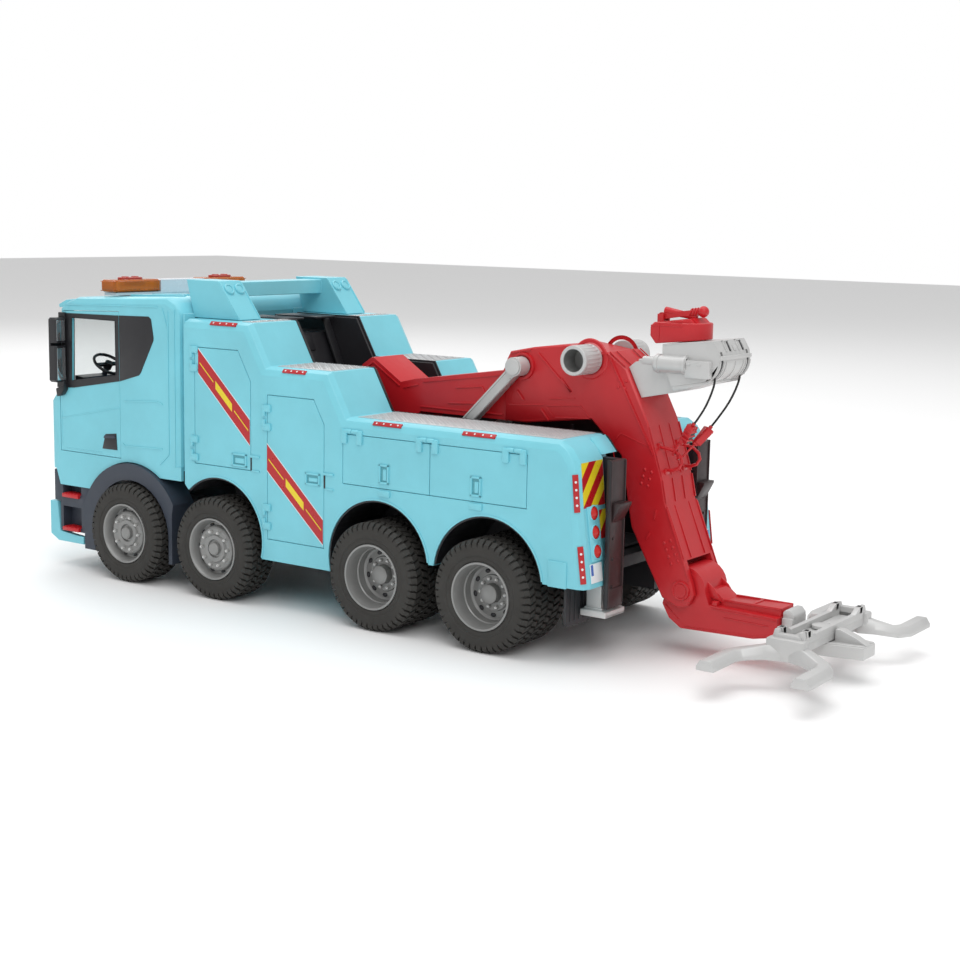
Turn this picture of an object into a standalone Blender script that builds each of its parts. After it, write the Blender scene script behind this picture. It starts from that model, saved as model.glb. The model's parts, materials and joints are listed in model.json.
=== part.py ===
"""Toy recovery truck, about 1:16: four axles, cab, locker bodies, crane boom and underlift.

Sizes are in millimetres and become metres when a mesh is made.
+X is the front of the truck, +Y its left side, +Z up, and the floor is z = 0.
Design x counts from the rearmost axle; the datum empty moves the middle of the truck to x = 0.
"""
import math

import bmesh
import bpy
from mathutils import Matrix

MM = 0.001

# ---- driving sizes -------------------------------------------------------------------------
GAP = 0.3                      # between pieces that touch
WALL = 2.5                     # moulded wall

WHEEL_RADIUS = 34.0
WHEEL_FACE_Y = 86.5            # outer face of every tyre
FRONT_TYRE_WIDTH = 26.0
REAR_TYRE_WIDTH = 44.0
RIM_RADIUS = 20.5
BEAD_RADIUS = 18.2
AXLE_RADIUS = 2.5
AXLE_CLEARANCE = 0.4
AXLE_X = (297.7, 214.9, 81.6, 0.0)
AXLE_Z = WHEEL_RADIUS

CAB_REAR_X = 251.5
CAB_FRONT_X = 380.5
CAB_HALF_WIDTH = 77.0
CAB_FLOOR_Z = 80.5
ROOF_Z = 196.0
ROOF_FRONT_Z = 192.5
SILL_Z = 128.0                 # bottom of the windscreen
DOOR_REAR_X = 309.5
DOOR_FRONT_X = 370.0
DOOR_TOP_Z = 184.5
FENDER_CENTRE = (298.5, 33.5)   # x, z of the arch over the first axle
FENDER_RADIUS = 48.0
SKIRT_FRONT_X = 300.0           # the cab's side is lower in front of this, inside the arch
SKIRT_FRONT_Z = 59.3
SKIRT_REAR_Z = 74.0

BODY_HALF_WIDTH = 79.3
BAY_HALF_WIDTH = 32.0
BODY_FRONT_X = 246.0
BODY_REAR_X = -67.6
STEP_1_Z = 182.9
STEP_2_Z = 156.2
DECK_Z = 129.3
STEP_1_X = 188.9
STEP_2_X = 122.7
STEP_RUN = 15.1                # how far each slope between two levels runs
ARCH_RADIUS = 39.0
ARCH_Z = 42.0
SKIRT_Z = 31.4
TAIL_Z = 46.0
LOCKER_DEPTH = 40.0
DOOR_THICKNESS = 2.2

CHASSIS_HALF_WIDTH = 30.0
CHASSIS_TOP_Z = 56.0
CHASSIS_BOTTOM_Z = 28.0
CHASSIS_REAR_X = -56.0
COLUMN_X = (-68.6, -57.0)       # the column's web, beside the tail
COLUMN_Y = (43.4, 48.0)
COLUMN_FACE_X = (-70.2, -68.4)  # its wide face, behind the tail
COLUMN_FACE_Y = (43.4, 59.6)
COLUMN_BOTTOM_Z = 32.5
COLUMN_TOP_Z = 118.0
FOOT_Z = 27.0

ARCH_TOP_Z = 208.0             # top of the roll bar over the body
ARCH_POST_Y = (44.0, 65.0)
LIGHT_BAR_X = (325.0, 340.0)
LIGHT_BAR_HALF_WIDTH = 65.5
LENS_LENGTH = 43.5
BUTTON_TRAVEL = 1.0

BOOM_PIVOT = (132.0, 117.0)    # x, z of the hinge at the front of the boom
BOOM_HALF_WIDTH = 15.6
MAST_HALF_WIDTH = 18.5
STRUT_PIVOT = (17.8, 163.6)
STRUT_LENGTH = 78.5
STRUT_Y = (20.0, 26.5)
KNOB_CENTRE = (-29.7, 171.0)
KNOB_RADIUS = 8.9
KNOB_LENGTH = 18.8
LEVER_PIVOT = (-67.6, 197.4)
ROPE_DIAMETER = 1.3

ARM_PIVOT = (-95.8, 40.0)      # x, z of the pin at the foot of the mast
ARM_HALF_WIDTH = 14.0
ARM_PIN_RADIUS = 4.0
ARM_END_X = -155.2
SLIDE_HALF_WIDTH = 5.0
SLIDE_Z = (21.5, 29.5)
FORK_PIVOT_X = -176.0
FORK_REAR_X = -208.5
CROSSBAR_HALF_LENGTH = 39.5
GRID_REACH_Y = 87.0

SMOOTH_ANGLE = math.radians(40)

FRONT_X = 383.0                # foremost point, on the bumper
DATUM_X = -0.5 * (FRONT_X + FORK_REAR_X)

COLOURS = {
    "blue": ((0.216, 0.604, 0.686), 0.38, 0.0),
    "red": ((0.521, 0.012, 0.016), 0.36, 0.0),
    "silver": ((0.58, 0.58, 0.57), 0.42, 0.35),
    "black": ((0.018, 0.018, 0.021), 0.45, 0.0),
    "grey": ((0.045, 0.055, 0.075), 0.5, 0.0),
    "rubber": ((0.035, 0.034, 0.031), 0.8, 0.0),
    "rim": ((0.30, 0.30, 0.29), 0.4, 0.3),
    "amber": ((0.50, 0.12, 0.005), 0.15, 0.0),
    "white": ((0.72, 0.74, 0.78), 0.3, 0.0),
    "glass": ((0.10, 0.12, 0.13), 0.08, 0.0),
    "rope": ((0.01, 0.01, 0.01), 0.8, 0.0),
}


# ---- scene and helpers ---------------------------------------------------------------------
for old in list(bpy.data.objects):
    bpy.data.objects.remove(old, do_unlink=True)

PARTS = bpy.data.collections.new("toy_recovery_truck")
CUTTERS = bpy.data.collections.new("cutters")
bpy.context.scene.collection.children.link(PARTS)
bpy.context.scene.collection.children.link(CUTTERS)


def empty(name, location, parent=None):
    """An empty that carries pieces, at a place in design millimetres."""
    holder = bpy.data.objects.new(name, None)
    holder.empty_display_size = 10 * MM
    CUTTERS.objects.link(holder)
    holder.parent = parent
    holder.location = [value * MM for value in location]
    return holder


DATUM = empty("datum", (DATUM_X, 0, 0))


def paint(item, colour):
    """Give a piece a Principled material of its own."""
    base, roughness, metallic = COLOURS[colour]
    material = bpy.data.materials.new(f"{item.name}_{colour}")
    material.use_nodes = True
    shader = material.node_tree.nodes["Principled BSDF"]
    shader.inputs["Base Color"].default_value = (*base, 1.0)
    shader.inputs["Roughness"].default_value = roughness
    shader.inputs["Metallic"].default_value = metallic
    material.diffuse_color = (*base, 1.0)
    item.data.materials.append(material)


def place(name, mesh, colour, matrix=None):
    """Put a mesh in the model: a painted piece, or a hidden cutter when colour is None."""
    item = bpy.data.objects.new(name, mesh)
    (PARTS if colour else CUTTERS).objects.link(item)
    if matrix is not None:
        item.matrix_world = matrix
    item.parent = DATUM
    if colour:
        paint(item, colour)
        mesh.shade_smooth()
        mesh.set_sharp_from_angle(angle=SMOOTH_ANGLE)
    else:
        item.hide_render = True
        item.display_type = "WIRE"
    return item


PLANES = {
    "xz": Matrix.Rotation(math.radians(90), 4, "X"),
    "xy": Matrix.Identity(4),
}
ACROSS = {"xz": (0, 1, 0), "xy": (0, 0, 1)}


def curve_to_mesh(curve_object):
    """The closed mesh of a curve object, which is removed."""
    graph = bpy.context.evaluated_depsgraph_get()
    mesh = bpy.data.meshes.new_from_object(curve_object.evaluated_get(graph))
    work = bmesh.new()
    work.from_mesh(mesh)
    bmesh.ops.remove_doubles(work, verts=work.verts, dist=0.01 * MM)
    bmesh.ops.dissolve_limit(work, angle_limit=math.radians(0.5), verts=work.verts, edges=work.edges)
    bmesh.ops.recalc_face_normals(work, faces=work.faces)
    work.to_mesh(mesh)
    work.free()
    mesh.materials.clear()
    bpy.data.objects.remove(curve_object, do_unlink=True)
    return mesh


def slab(name, points, span, colour=None, plane="xz"):
    """A flat outline in a plane, extruded over span along the third axis."""
    curve = bpy.data.curves.new(name, "CURVE")
    curve.dimensions = "2D"
    curve.fill_mode = "BOTH"
    curve.extrude = 0.5 * abs(span[1] - span[0]) * MM
    spline = curve.splines.new("POLY")
    spline.points.add(len(points) - 1)
    for point, (u, v) in zip(spline.points, points):
        point.co = (u * MM, v * MM, 0, 1)
    spline.use_cyclic_u = True
    holder = bpy.data.objects.new(name + "_outline", curve)
    CUTTERS.objects.link(holder)
    middle = 0.5 * (span[0] + span[1]) * MM
    matrix = Matrix.Translation([axis * middle for axis in ACROSS[plane]]) @ PLANES[plane]
    return place(name, curve_to_mesh(holder), colour, matrix)


def box(name, x, y, z, colour=None):
    """A block between two values on each axis."""
    work = bmesh.new()
    bmesh.ops.create_cube(work, size=1)
    size = [abs(side[1] - side[0]) * MM for side in (x, y, z)]
    bmesh.ops.scale(work, vec=size, verts=work.verts)
    mesh = bpy.data.meshes.new(name)
    work.to_mesh(mesh)
    work.free()
    middle = [0.5 * (side[0] + side[1]) * MM for side in (x, y, z)]
    return place(name, mesh, colour, Matrix.Translation(middle))


TURNS = {
    "x": Matrix.Rotation(math.radians(90), 4, "Y"),
    "y": Matrix.Rotation(math.radians(-90), 4, "X"),
    "z": Matrix.Identity(4),
}


def rod(name, centre, radius, length, axis="y", colour=None, sides=20):
    """A cylinder centred on a point."""
    work = bmesh.new()
    bmesh.ops.create_cone(
        work, cap_ends=True, segments=sides,
        radius1=radius * MM, radius2=radius * MM, depth=length * MM)
    mesh = bpy.data.meshes.new(name)
    work.to_mesh(mesh)
    work.free()
    matrix = Matrix.Translation([value * MM for value in centre]) @ TURNS[axis]
    return place(name, mesh, colour, matrix)


def ball(name, centre, radius, colour=None, sides=12):
    """A sphere."""
    work = bmesh.new()
    bmesh.ops.create_uvsphere(work, u_segments=sides, v_segments=sides // 2, radius=radius * MM)
    mesh = bpy.data.meshes.new(name)
    work.to_mesh(mesh)
    work.free()
    return place(name, mesh, colour, Matrix.Translation([value * MM for value in centre]))


def turned(name, profile, centre, colour, steps, closed, axis="y"):
    """A profile of (radius, height) turned about an axis; its outer side runs downwards."""
    mesh = bpy.data.meshes.new(name)
    count = len(profile)
    edges = [(index, index + 1) for index in range(count - 1)]
    if closed:
        edges.append((count - 1, 0))
    mesh.from_pydata([(radius * MM, 0, height * MM) for radius, height in profile], edges, [])
    matrix = Matrix.Translation([value * MM for value in centre]) @ TURNS[axis]
    item = place(name, mesh, colour, matrix)
    screw = item.modifiers.new("turn", "SCREW")
    screw.axis = "Z"
    screw.steps = steps
    screw.render_steps = steps
    screw.use_merge_vertices = True
    screw.merge_threshold = 0.02 * MM
    screw.use_smooth_shade = False
    return item


def tube(name, points, diameter, colour=None, resolution=2):
    """A round bar, wire or rope along a list of points."""
    curve = bpy.data.curves.new(name, "CURVE")
    curve.dimensions = "3D"
    curve.bevel_depth = 0.5 * diameter * MM
    curve.bevel_resolution = resolution
    curve.use_fill_caps = True
    spline = curve.splines.new("POLY")
    spline.points.add(len(points) - 1)
    for point, place_mm in zip(spline.points, points):
        point.co = (*[value * MM for value in place_mm], 1)
    holder = bpy.data.objects.new(name + "_path", curve)
    CUTTERS.objects.link(holder)
    return place(name, curve_to_mesh(holder), colour)


def combine(target, operation, tools):
    for tool in tools:
        modifier = target.modifiers.new(f"{operation.lower()}_{tool.name}", "BOOLEAN")
        modifier.operation = operation
        modifier.object = tool
    return target


def cut(target, *tools):
    """Cut hidden solids out of a piece."""
    return combine(target, "DIFFERENCE", tools)


def join(target, *tools):
    """Join hidden solids to a piece."""
    return combine(target, "UNION", tools)


def soften(target, width, segments=1, angle=30):
    """Round the sharp edges of a piece."""
    bevel = target.modifiers.new("rounding", "BEVEL")
    bevel.width = width * MM
    bevel.segments = segments
    bevel.limit_method = "ANGLE"
    bevel.angle_limit = math.radians(angle)
    return target


def soften_where(target, width, segments, chosen):
    """Round only the edges whose middle passes a test on its local place in millimetres."""
    mesh = target.data
    weights = mesh.attributes.new("bevel_weight_edge", "FLOAT", "EDGE")
    for edge in mesh.edges:
        ends = [mesh.vertices[index].co / MM for index in edge.vertices]
        if chosen(ends[0], ends[1]):
            weights.data[edge.index].value = 1.0
    bevel = target.modifiers.new("rounding", "BEVEL")
    bevel.width = width * MM
    bevel.segments = segments
    bevel.limit_method = "WEIGHT"
    return target


def hang(parent, *items):
    """Move pieces under an empty, leaving them where they are."""
    for item in items:
        item.location = item.location - parent.location
        item.parent = parent


def arc(centre, radius, start, end, count):
    """Points along an arc; angles in degrees, counted from +x towards +z."""
    step = (end - start) / (count - 1)
    angles = [math.radians(start + step * index) for index in range(count)]
    return [(centre[0] + radius * math.cos(a), centre[1] + radius * math.sin(a)) for a in angles]


SIDES = (("left", 1), ("right", -1))


def span(side, inner, outer):
    """A range of y on one side, in rising order."""
    return tuple(sorted((side * inner, side * outer)))


# ---- wheels --------------------------------------------------------------------------------
def front_rim(width):
    """Half profile of a front wheel, from its cap to the axle, h counted inwards from the face."""
    return [(0, -1.0), (4.5, -1.6), (5.2, -3.6), (13.2, -3.0), (17.4, -5.6), (18.8, -GAP),
            (RIM_RADIUS, -GAP), (RIM_RADIUS, -2.0), (BEAD_RADIUS, -2.0),
            (BEAD_RADIUS, -width + GAP), (AXLE_RADIUS, -width + GAP)]


def rear_rim(width):
    """Half profile of a deep rear wheel."""
    return [(0, -8.6), (6.2, -9.0), (6.6, -17.0), (12.0, -15.0), (17.0, -15.5), (18.4, -GAP),
            (RIM_RADIUS, -GAP), (RIM_RADIUS, -2.0), (BEAD_RADIUS, -2.0),
            (BEAD_RADIUS, -width + GAP), (AXLE_RADIUS, -width + GAP)]


def tyre(name, width, centre_x, side):
    """A tyre on its bead, hooked behind the rim's lip."""
    half = 0.5 * width
    bore = BEAD_RADIUS + GAP
    lip = RIM_RADIUS + GAP
    shoulder = 3.2
    profile = [(lip, half), (WHEEL_RADIUS - shoulder, half), (WHEEL_RADIUS, half - shoulder),
               (WHEEL_RADIUS, shoulder - half), (WHEEL_RADIUS - shoulder, -half), (bore, -half),
               (bore, half - 2.4), (lip, half - 2.4)]
    if side < 0:
        profile = [(radius, -height) for radius, height in reversed(profile)]
    centre = (centre_x, side * (WHEEL_FACE_Y - half), AXLE_Z)
    return turned(name, profile, centre, "rubber", 28, True)


def wheelset(number, centre_x):
    """An axle with the rims at its ends, and its two tyres, on one empty."""
    front = number <= 2
    width = FRONT_TYRE_WIDTH if front else REAR_TYRE_WIDTH
    rim = (front_rim if front else rear_rim)(width)
    upper = [(radius, WHEEL_FACE_Y + height) for radius, height in rim]
    lower = [(radius, -height) for radius, height in reversed(upper)]
    axle = turned(f"axle_{number}", upper + lower, (centre_x, 0, AXLE_Z), "rim", 20, False)
    tyres = [tyre(f"tyre_{number}_{name}", width, centre_x, side) for name, side in SIDES]
    hang(empty(f"wheelset_{number}", (centre_x, 0, AXLE_Z), DATUM), axle, *tyres)


for index, axle_x in enumerate(AXLE_X):
    wheelset(index + 1, axle_x)


# ---- chassis, bay and support legs ---------------------------------------------------------
def chassis():
    """An inverted channel with bores for the axles, a rear beam and two columns."""
    frame = box(
        "chassis_frame", (CHASSIS_REAR_X, 345), (-CHASSIS_HALF_WIDTH, CHASSIS_HALF_WIDTH),
        (CHASSIS_BOTTOM_Z, CHASSIS_TOP_Z), "black")
    rail = 8.0
    inside = CHASSIS_HALF_WIDTH - rail
    tools = [box("chassis_channel", (-100, 400), (-inside, inside), (0, CHASSIS_TOP_Z - 6))]
    for number, axle_x in enumerate(AXLE_X):
        tools.append(rod(f"axle_bore_{number + 1}", (axle_x, 0, AXLE_Z),
                         AXLE_RADIUS + AXLE_CLEARANCE, 4 * CHASSIS_HALF_WIDTH))
    cut(frame, *tools)
    beam_z = (CHASSIS_TOP_Z - 6, CHASSIS_TOP_Z + 1)
    join(frame, box("rear_beam", (-61.0, CHASSIS_REAR_X + 4.5),
                    (-COLUMN_Y[1] + 1, COLUMN_Y[1] - 1), beam_z))
    for name, side in SIDES:
        join(frame, box(f"column_web_{name}", COLUMN_X, span(side, *COLUMN_Y), (TAIL_Z, COLUMN_TOP_Z)))
        join(frame, box(f"column_face_{name}", COLUMN_FACE_X, span(side, *COLUMN_FACE_Y),
                        (COLUMN_BOTTOM_Z, COLUMN_TOP_Z)))


def support_foot(name, side):
    """A foot plate on a post that slides down under the tail."""
    foot = box(f"support_foot_{name}", (-70.4, -53.5), span(side, 39, 61), (FOOT_Z, FOOT_Z + 3.6), "silver")
    post = box(f"foot_post_{name}", (-65.3, -55.3), span(side, 43.5, 57.5), (FOOT_Z + 2, TAIL_Z - 1))
    join(foot, post)
    hang(empty(f"foot_slide_{name}", (-60, side * 50, FOOT_Z), DATUM), foot)


def body_profile(drop=0.0):
    """The stepped top line of the body, from the front to the tail, lowered by drop."""
    return [(BODY_FRONT_X, STEP_1_Z - drop), (STEP_1_X, STEP_1_Z - drop),
            (STEP_1_X - STEP_RUN, STEP_2_Z - drop), (STEP_2_X, STEP_2_Z - drop),
            (STEP_2_X - STEP_RUN, DECK_Z - drop), (-47.5, DECK_Z - drop)]


def bay_liner():
    """The dark trough between the two bodies, with an equipment box at its front."""
    outer = BAY_HALF_WIDTH - GAP
    inner = outer - 2.0
    floor_z = CHASSIS_TOP_Z + 1 + GAP
    rear = COLUMN_X[1] + 7.5
    top = [point for point in body_profile(drop=0.8) if point[0] > rear]
    top[0] = (BODY_FRONT_X - 1, top[0][1])
    outline = top + [(rear, top[-1][1] - 3), (rear, floor_z), (BODY_FRONT_X - 1, floor_z)]
    liner = slab("bay_liner", outline, (-outer, outer), "black")
    box_x = STEP_1_X + 8
    trough = slab("bay_trough", [(rear - 20, floor_z + 2), (box_x - 20, floor_z + 2), (box_x, 135),
                                 (box_x + 16, 172), (BODY_FRONT_X + 10, 172),
                                 (BODY_FRONT_X + 10, 260), (rear - 20, 260)], (-inner, inner))
    pins = rod("boom_pin_bore", (BOOM_PIVOT[0], 0, BOOM_PIVOT[1]), 4.4, 100)
    cut(liner, trough, pins)


chassis()
bay_liner()
for label, sign in SIDES:
    support_foot(label, sign)


# ---- locker bodies -------------------------------------------------------------------------
def corner_door(rear, front, low, high, corner):
    """Outline of a tall door whose upper rear corner is cut off along the body's slope."""
    return [(front, low), (front, high), (rear + corner, high),
            (rear, high - 1.75 * corner), (rear, low)]


def plain_door(rear, front, low, high):
    return [(front, low), (front, high), (rear, high), (rear, low)]


LOCKER_SEAM = 42.6
LOCKERS = (
    # name, outline, hinge kind
    ("locker_1", corner_door(186.6, 236.0, 88.5, 165.0, 11.0), "tall"),
    ("locker_2", corner_door(124.9, 172.0, 45.5, 138.4, 8.6), "tall"),
    ("flap_3", plain_door(LOCKER_SEAM + 0.2, 109.5, 88.5, 119.3), "flap"),
    ("flap_4", plain_door(-26.5, LOCKER_SEAM - 0.2, 88.5, 119.3), "flap"),
)


def grown(outline, amount):
    """An outline made larger by amount on every side (smaller where amount is negative)."""
    count = len(outline)
    area = sum(outline[i][0] * outline[(i + 1) % count][1] - outline[(i + 1) % count][0] * outline[i][1]
               for i in range(count))
    turn = 1 if area > 0 else -1
    lines = []
    for i in range(count):
        (x0, z0), (x1, z1) = outline[i], outline[(i + 1) % count]
        length = math.hypot(x1 - x0, z1 - z0)
        normal = (turn * (z1 - z0) / length, -turn * (x1 - x0) / length)
        lines.append((normal, normal[0] * x0 + normal[1] * z0 + amount))
    result = []
    for i in range(count):
        (a, c), (b, d) = lines[i - 1], lines[i]
        scale = a[0] * b[1] - a[1] * b[0]
        result.append(((c * b[1] - d * a[1]) / scale, (a[0] * d - b[0] * c) / scale))
    return result


def side_body(name, side):
    """One moulded body: stepped top, wheel arches, locker pockets and a rounded tail."""
    rise = math.degrees(math.asin((TAIL_Z - ARCH_Z) / ARCH_RADIUS))
    fall = math.degrees(math.asin((SKIRT_Z - ARCH_Z) / ARCH_RADIUS))
    outline = body_profile() + [
        (-53.8, DECK_Z - 4.0), (-58.9, DECK_Z - 11.1), (-61.8, 89.2), (BODY_REAR_X, TAIL_Z)]
    for axle_x, start, end in ((AXLE_X[3], 180 - rise, rise), (AXLE_X[2], 180 - rise, fall),
                               (AXLE_X[1], 180 - fall, 45)):
        outline += arc((axle_x, ARCH_Z), ARCH_RADIUS, start, end, 17)
    outline.append((BODY_FRONT_X, ARCH_Z + 0.8 * ARCH_RADIUS))
    body = slab(f"side_body_{name}", outline, span(side, BAY_HALF_WIDTH, BODY_HALF_WIDTH), "blue")
    outer_local = -side * 0.5 * (BODY_HALF_WIDTH - BAY_HALF_WIDTH)

    def top_or_tail_edge(start, end):
        outside = abs(start.z - outer_local) < 0.01 and abs(end.z - outer_local) < 0.01
        along_top = start.y > DECK_Z - 12 and end.y > DECK_Z - 12
        along_tail = start.x < -57 and end.x < -57 and abs(start.y - end.y) > 5
        return outside and (along_top or along_tail)

    soften_where(body, 5.5, 2, top_or_tail_edge)
    tools = []
    tools.append(box(f"column_notch_{name}", (-90, COLUMN_X[1] + 6.5),
                     span(side, 20, COLUMN_Y[1] + 1.5), (0, 200)))
    for locker, door, _ in LOCKERS:
        recess_y = span(side, BODY_HALF_WIDTH - DOOR_THICKNESS - GAP, 100)
        tools.append(slab(f"{locker}_recess_{name}", grown(door, GAP), recess_y))
        pocket_y = span(side, BODY_HALF_WIDTH - LOCKER_DEPTH, 90)
        tools.append(slab(f"{locker}_pocket_{name}", grown(door, -3.0), pocket_y))
    return cut(body, *tools)


def locker_door(name, side, title, outline, kind):
    """A door in its recess, on an empty at its hinge line just outside the body."""
    y = span(side, BODY_HALF_WIDTH - DOOR_THICKNESS, BODY_HALF_WIDTH)
    door = slab(f"{title}_{name}", outline, y, "blue")
    front, low = outline[0]
    high = outline[1][1]
    hinge_y = side * (BODY_HALF_WIDTH + 0.6)
    place_mm = (front, hinge_y, low) if kind == "tall" else (front, hinge_y, high)
    hang(empty(f"{title}_hinge_{name}", place_mm, DATUM), door)


for label, sign in SIDES:
    side_body(label, sign)
    for locker_name, door_outline, hinge_kind in LOCKERS:
        locker_door(label, sign, locker_name, door_outline, hinge_kind)


# ---- cab -----------------------------------------------------------------------------------
CAB_OUTLINE = [
    (CAB_REAR_X, CAB_FLOOR_Z), (CAB_REAR_X, ROOF_Z - 11), (CAB_REAR_X + 4.5, ROOF_Z - 4),
    (CAB_REAR_X + 12.5, ROOF_Z), (CAB_FRONT_X - 28, ROOF_FRONT_Z), (CAB_FRONT_X - 16, ROOF_FRONT_Z - 4),
    (CAB_FRONT_X - 11, DOOR_TOP_Z), (CAB_FRONT_X - 7.5, SILL_Z), (CAB_FRONT_X, SILL_Z - 9),
    (CAB_FRONT_X, 70.5), (348.5, 70.5), (348.5, CAB_FLOOR_Z)]


def cab_door_outline():
    return [(DOOR_FRONT_X, 84), (DOOR_FRONT_X, SILL_Z), (DOOR_FRONT_X - 4, DOOR_TOP_Z - 2),
            (DOOR_REAR_X, DOOR_TOP_Z), (DOOR_REAR_X, 84)]


def cab_shell():
    """The cab: one moulding, hollow inside, open at the doors and the windscreen."""
    shell = slab("cab_shell", CAB_OUTLINE, (-CAB_HALF_WIDTH, CAB_HALF_WIDTH), "blue")

    def long_edge(start, end):
        outside = abs(abs(start.z) - CAB_HALF_WIDTH) < 0.01 and abs(abs(end.z) - CAB_HALF_WIDTH) < 0.01
        upper = min(start.y, end.y) > CAB_FLOOR_Z - 12 and abs(start.z - end.z) < 0.01
        floor_edge = abs(start.y - end.y) < 0.01 and start.y < CAB_FLOOR_Z + 1
        return outside and upper and not floor_edge

    soften_where(shell, 4.5, 2, long_edge)
    inner = grown(CAB_OUTLINE[:9] + [(CAB_FRONT_X, CAB_FLOOR_Z)], -WALL)
    hollow = slab("cab_hollow", inner, (WALL - CAB_HALF_WIDTH, CAB_HALF_WIDTH - WALL))
    screen = box("screen_opening", (CAB_FRONT_X - 20, CAB_FRONT_X + 20), (-66, 66),
                 (SILL_Z + GAP, DOOR_TOP_Z - 2))
    doors = slab("door_openings", grown(cab_door_outline(), GAP), (-100, 100))
    middle = box("door_keep", (200, 400), (-CAB_HALF_WIDTH + 8, CAB_HALF_WIDTH - 8), (0, 250))
    cut(doors, middle)
    cut(shell, hollow, screen, doors)
    skirt = [(CAB_REAR_X, 83.2), (CAB_REAR_X, SKIRT_REAR_Z), (SKIRT_FRONT_X, SKIRT_REAR_Z),
             (SKIRT_FRONT_X, SKIRT_FRONT_Z), (CAB_FRONT_X - 9, SKIRT_FRONT_Z), (CAB_FRONT_X - 5, 70.8),
             (CAB_FRONT_X - 5, 83.2)]
    for name, side in SIDES:
        join(shell, slab(f"cab_skirt_{name}", skirt, span(side, CAB_HALF_WIDTH - WALL, CAB_HALF_WIDTH)))
        cut(shell, rod(f"cab_arch_{name}", (FENDER_CENTRE[0], side * 70.5, FENDER_CENTRE[1]),
                       FENDER_RADIUS + 2 * GAP, 21, sides=64))


def cab_glazing():
    """The clear windscreen, leaning back a little."""
    foot_x = CAB_FRONT_X - 7.9
    head_x = foot_x - 3.2
    low = SILL_Z + 2 * GAP
    high = DOOR_TOP_Z - 2 - GAP
    outline = [(foot_x - 2, low), (foot_x, low), (head_x, high), (head_x - 2, high)]
    slab("cab_glazing", outline, (-66 + GAP, 66 - GAP), "glass")


def cab_interior():
    """Floor, dashboard and two seats in one dark moulding."""
    floor_z = CAB_FLOOR_Z + WALL + GAP
    rear = CAB_REAR_X + WALL + 1
    tub = box("cab_interior", (rear, 364), (-70, 70), (floor_z, floor_z + 2.5), "black")
    join(tub, slab("dashboard", [(349, floor_z + 1), (363.6, floor_z + 1), (363.6, 137), (355, 136),
                                 (347, 124)], (-69, 69)))
    for name, side in SIDES:
        seat = [(rear + 8, floor_z + 1), (304, floor_z + 1), (306, 108), (280, 106),
                (274, 150), (rear + 12, 152)]
        join(tub, slab(f"seat_{name}", seat, span(side, 16, 58)))


STEERING = (354.0, 46.0, 144.0)
STEERING_TILT = math.radians(-35)


def steering_wheel():
    """A rim, a spoke bar and a short column, tilted back towards the driver."""
    bpy.ops.mesh.primitive_torus_add(major_segments=20, minor_segments=6,
                                     major_radius=11 * MM, minor_radius=1.1 * MM)
    ring = bpy.context.object
    mesh = ring.data.copy()
    bpy.data.objects.remove(ring, do_unlink=True)
    tilt = Matrix.Translation([value * MM for value in STEERING]) @ Matrix.Rotation(STEERING_TILT, 4, "Y")
    wheel = place("steering_wheel", mesh, "black", tilt)
    spoke = box("steering_spoke", (-1.4, 1.4), (-11, 11), (-0.8, 0.8))
    hub = rod("steering_hub", (0, 0, -1), 3.0, 5, "z", sides=12)
    for item in (spoke, hub):
        item.matrix_basis = tilt @ item.matrix_basis
    join(wheel, spoke, hub)
    hang(empty("steering_axis", STEERING, DATUM), wheel)


def cab_door(name, side):
    """A door with its window opening, on an empty at its front edge."""
    y = span(side, CAB_HALF_WIDTH - WALL, CAB_HALF_WIDTH)
    door = slab(f"cab_door_{name}", cab_door_outline(), y, "blue")
    pane = slab(f"cab_pane_{name}", [(356.6, 178.6), (312.6, 178.4), (312.4, 140.6), (357.8, 133.8)],
                span(side, 60, 100))
    cut(door, pane)
    hang(empty(f"cab_door_hinge_{name}", (DOOR_FRONT_X, side * CAB_HALF_WIDTH, 84), DATUM), door)


def mirror(name, side):
    """Two mirror housings on one back plate, on an arm that folds about an upright axis."""
    rear, front = DOOR_FRONT_X - 8.5, DOOR_FRONT_X
    y = span(side, CAB_HALF_WIDTH + 0.6, CAB_HALF_WIDTH + 10.5)
    head = box(f"mirror_{name}", (rear, front), y, (133, 178), "black")
    soften(head, 1.4, 1)
    notch = box(f"mirror_notch_{name}", (rear - 4, front - 3), span(side, 60, 110), (158.5, 160.5))
    arm = box(f"mirror_arm_{name}", (front - 8, front - 1),
              span(side, CAB_HALF_WIDTH + GAP, CAB_HALF_WIDTH + 3.5), (129, 136))
    cut(head, notch)
    join(head, arm)
    hang(empty(f"mirror_hinge_{name}", (front - 0.5, side * (CAB_HALF_WIDTH + 1.6), 132), DATUM), head)


def front_bumper():
    """A bumper whose ends run back under the steps."""
    front = FRONT_X
    outline = [(front, 46.6), (front, 22.5), (front - 8, 18.2), (348.7, 18.2), (348.7, 23.5),
               (front - 10, 25.5), (front - 7.7, 46.6)]
    bumper = slab("front_bumper", outline, (-CAB_HALF_WIDTH, CAB_HALF_WIDTH), "blue")
    inner = CAB_HALF_WIDTH - 4
    cut(bumper, box("bumper_inside", (330, front - 3.3), (-inner, inner), (0, 60)))


FENDER_CLEARANCE = 2.2


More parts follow.
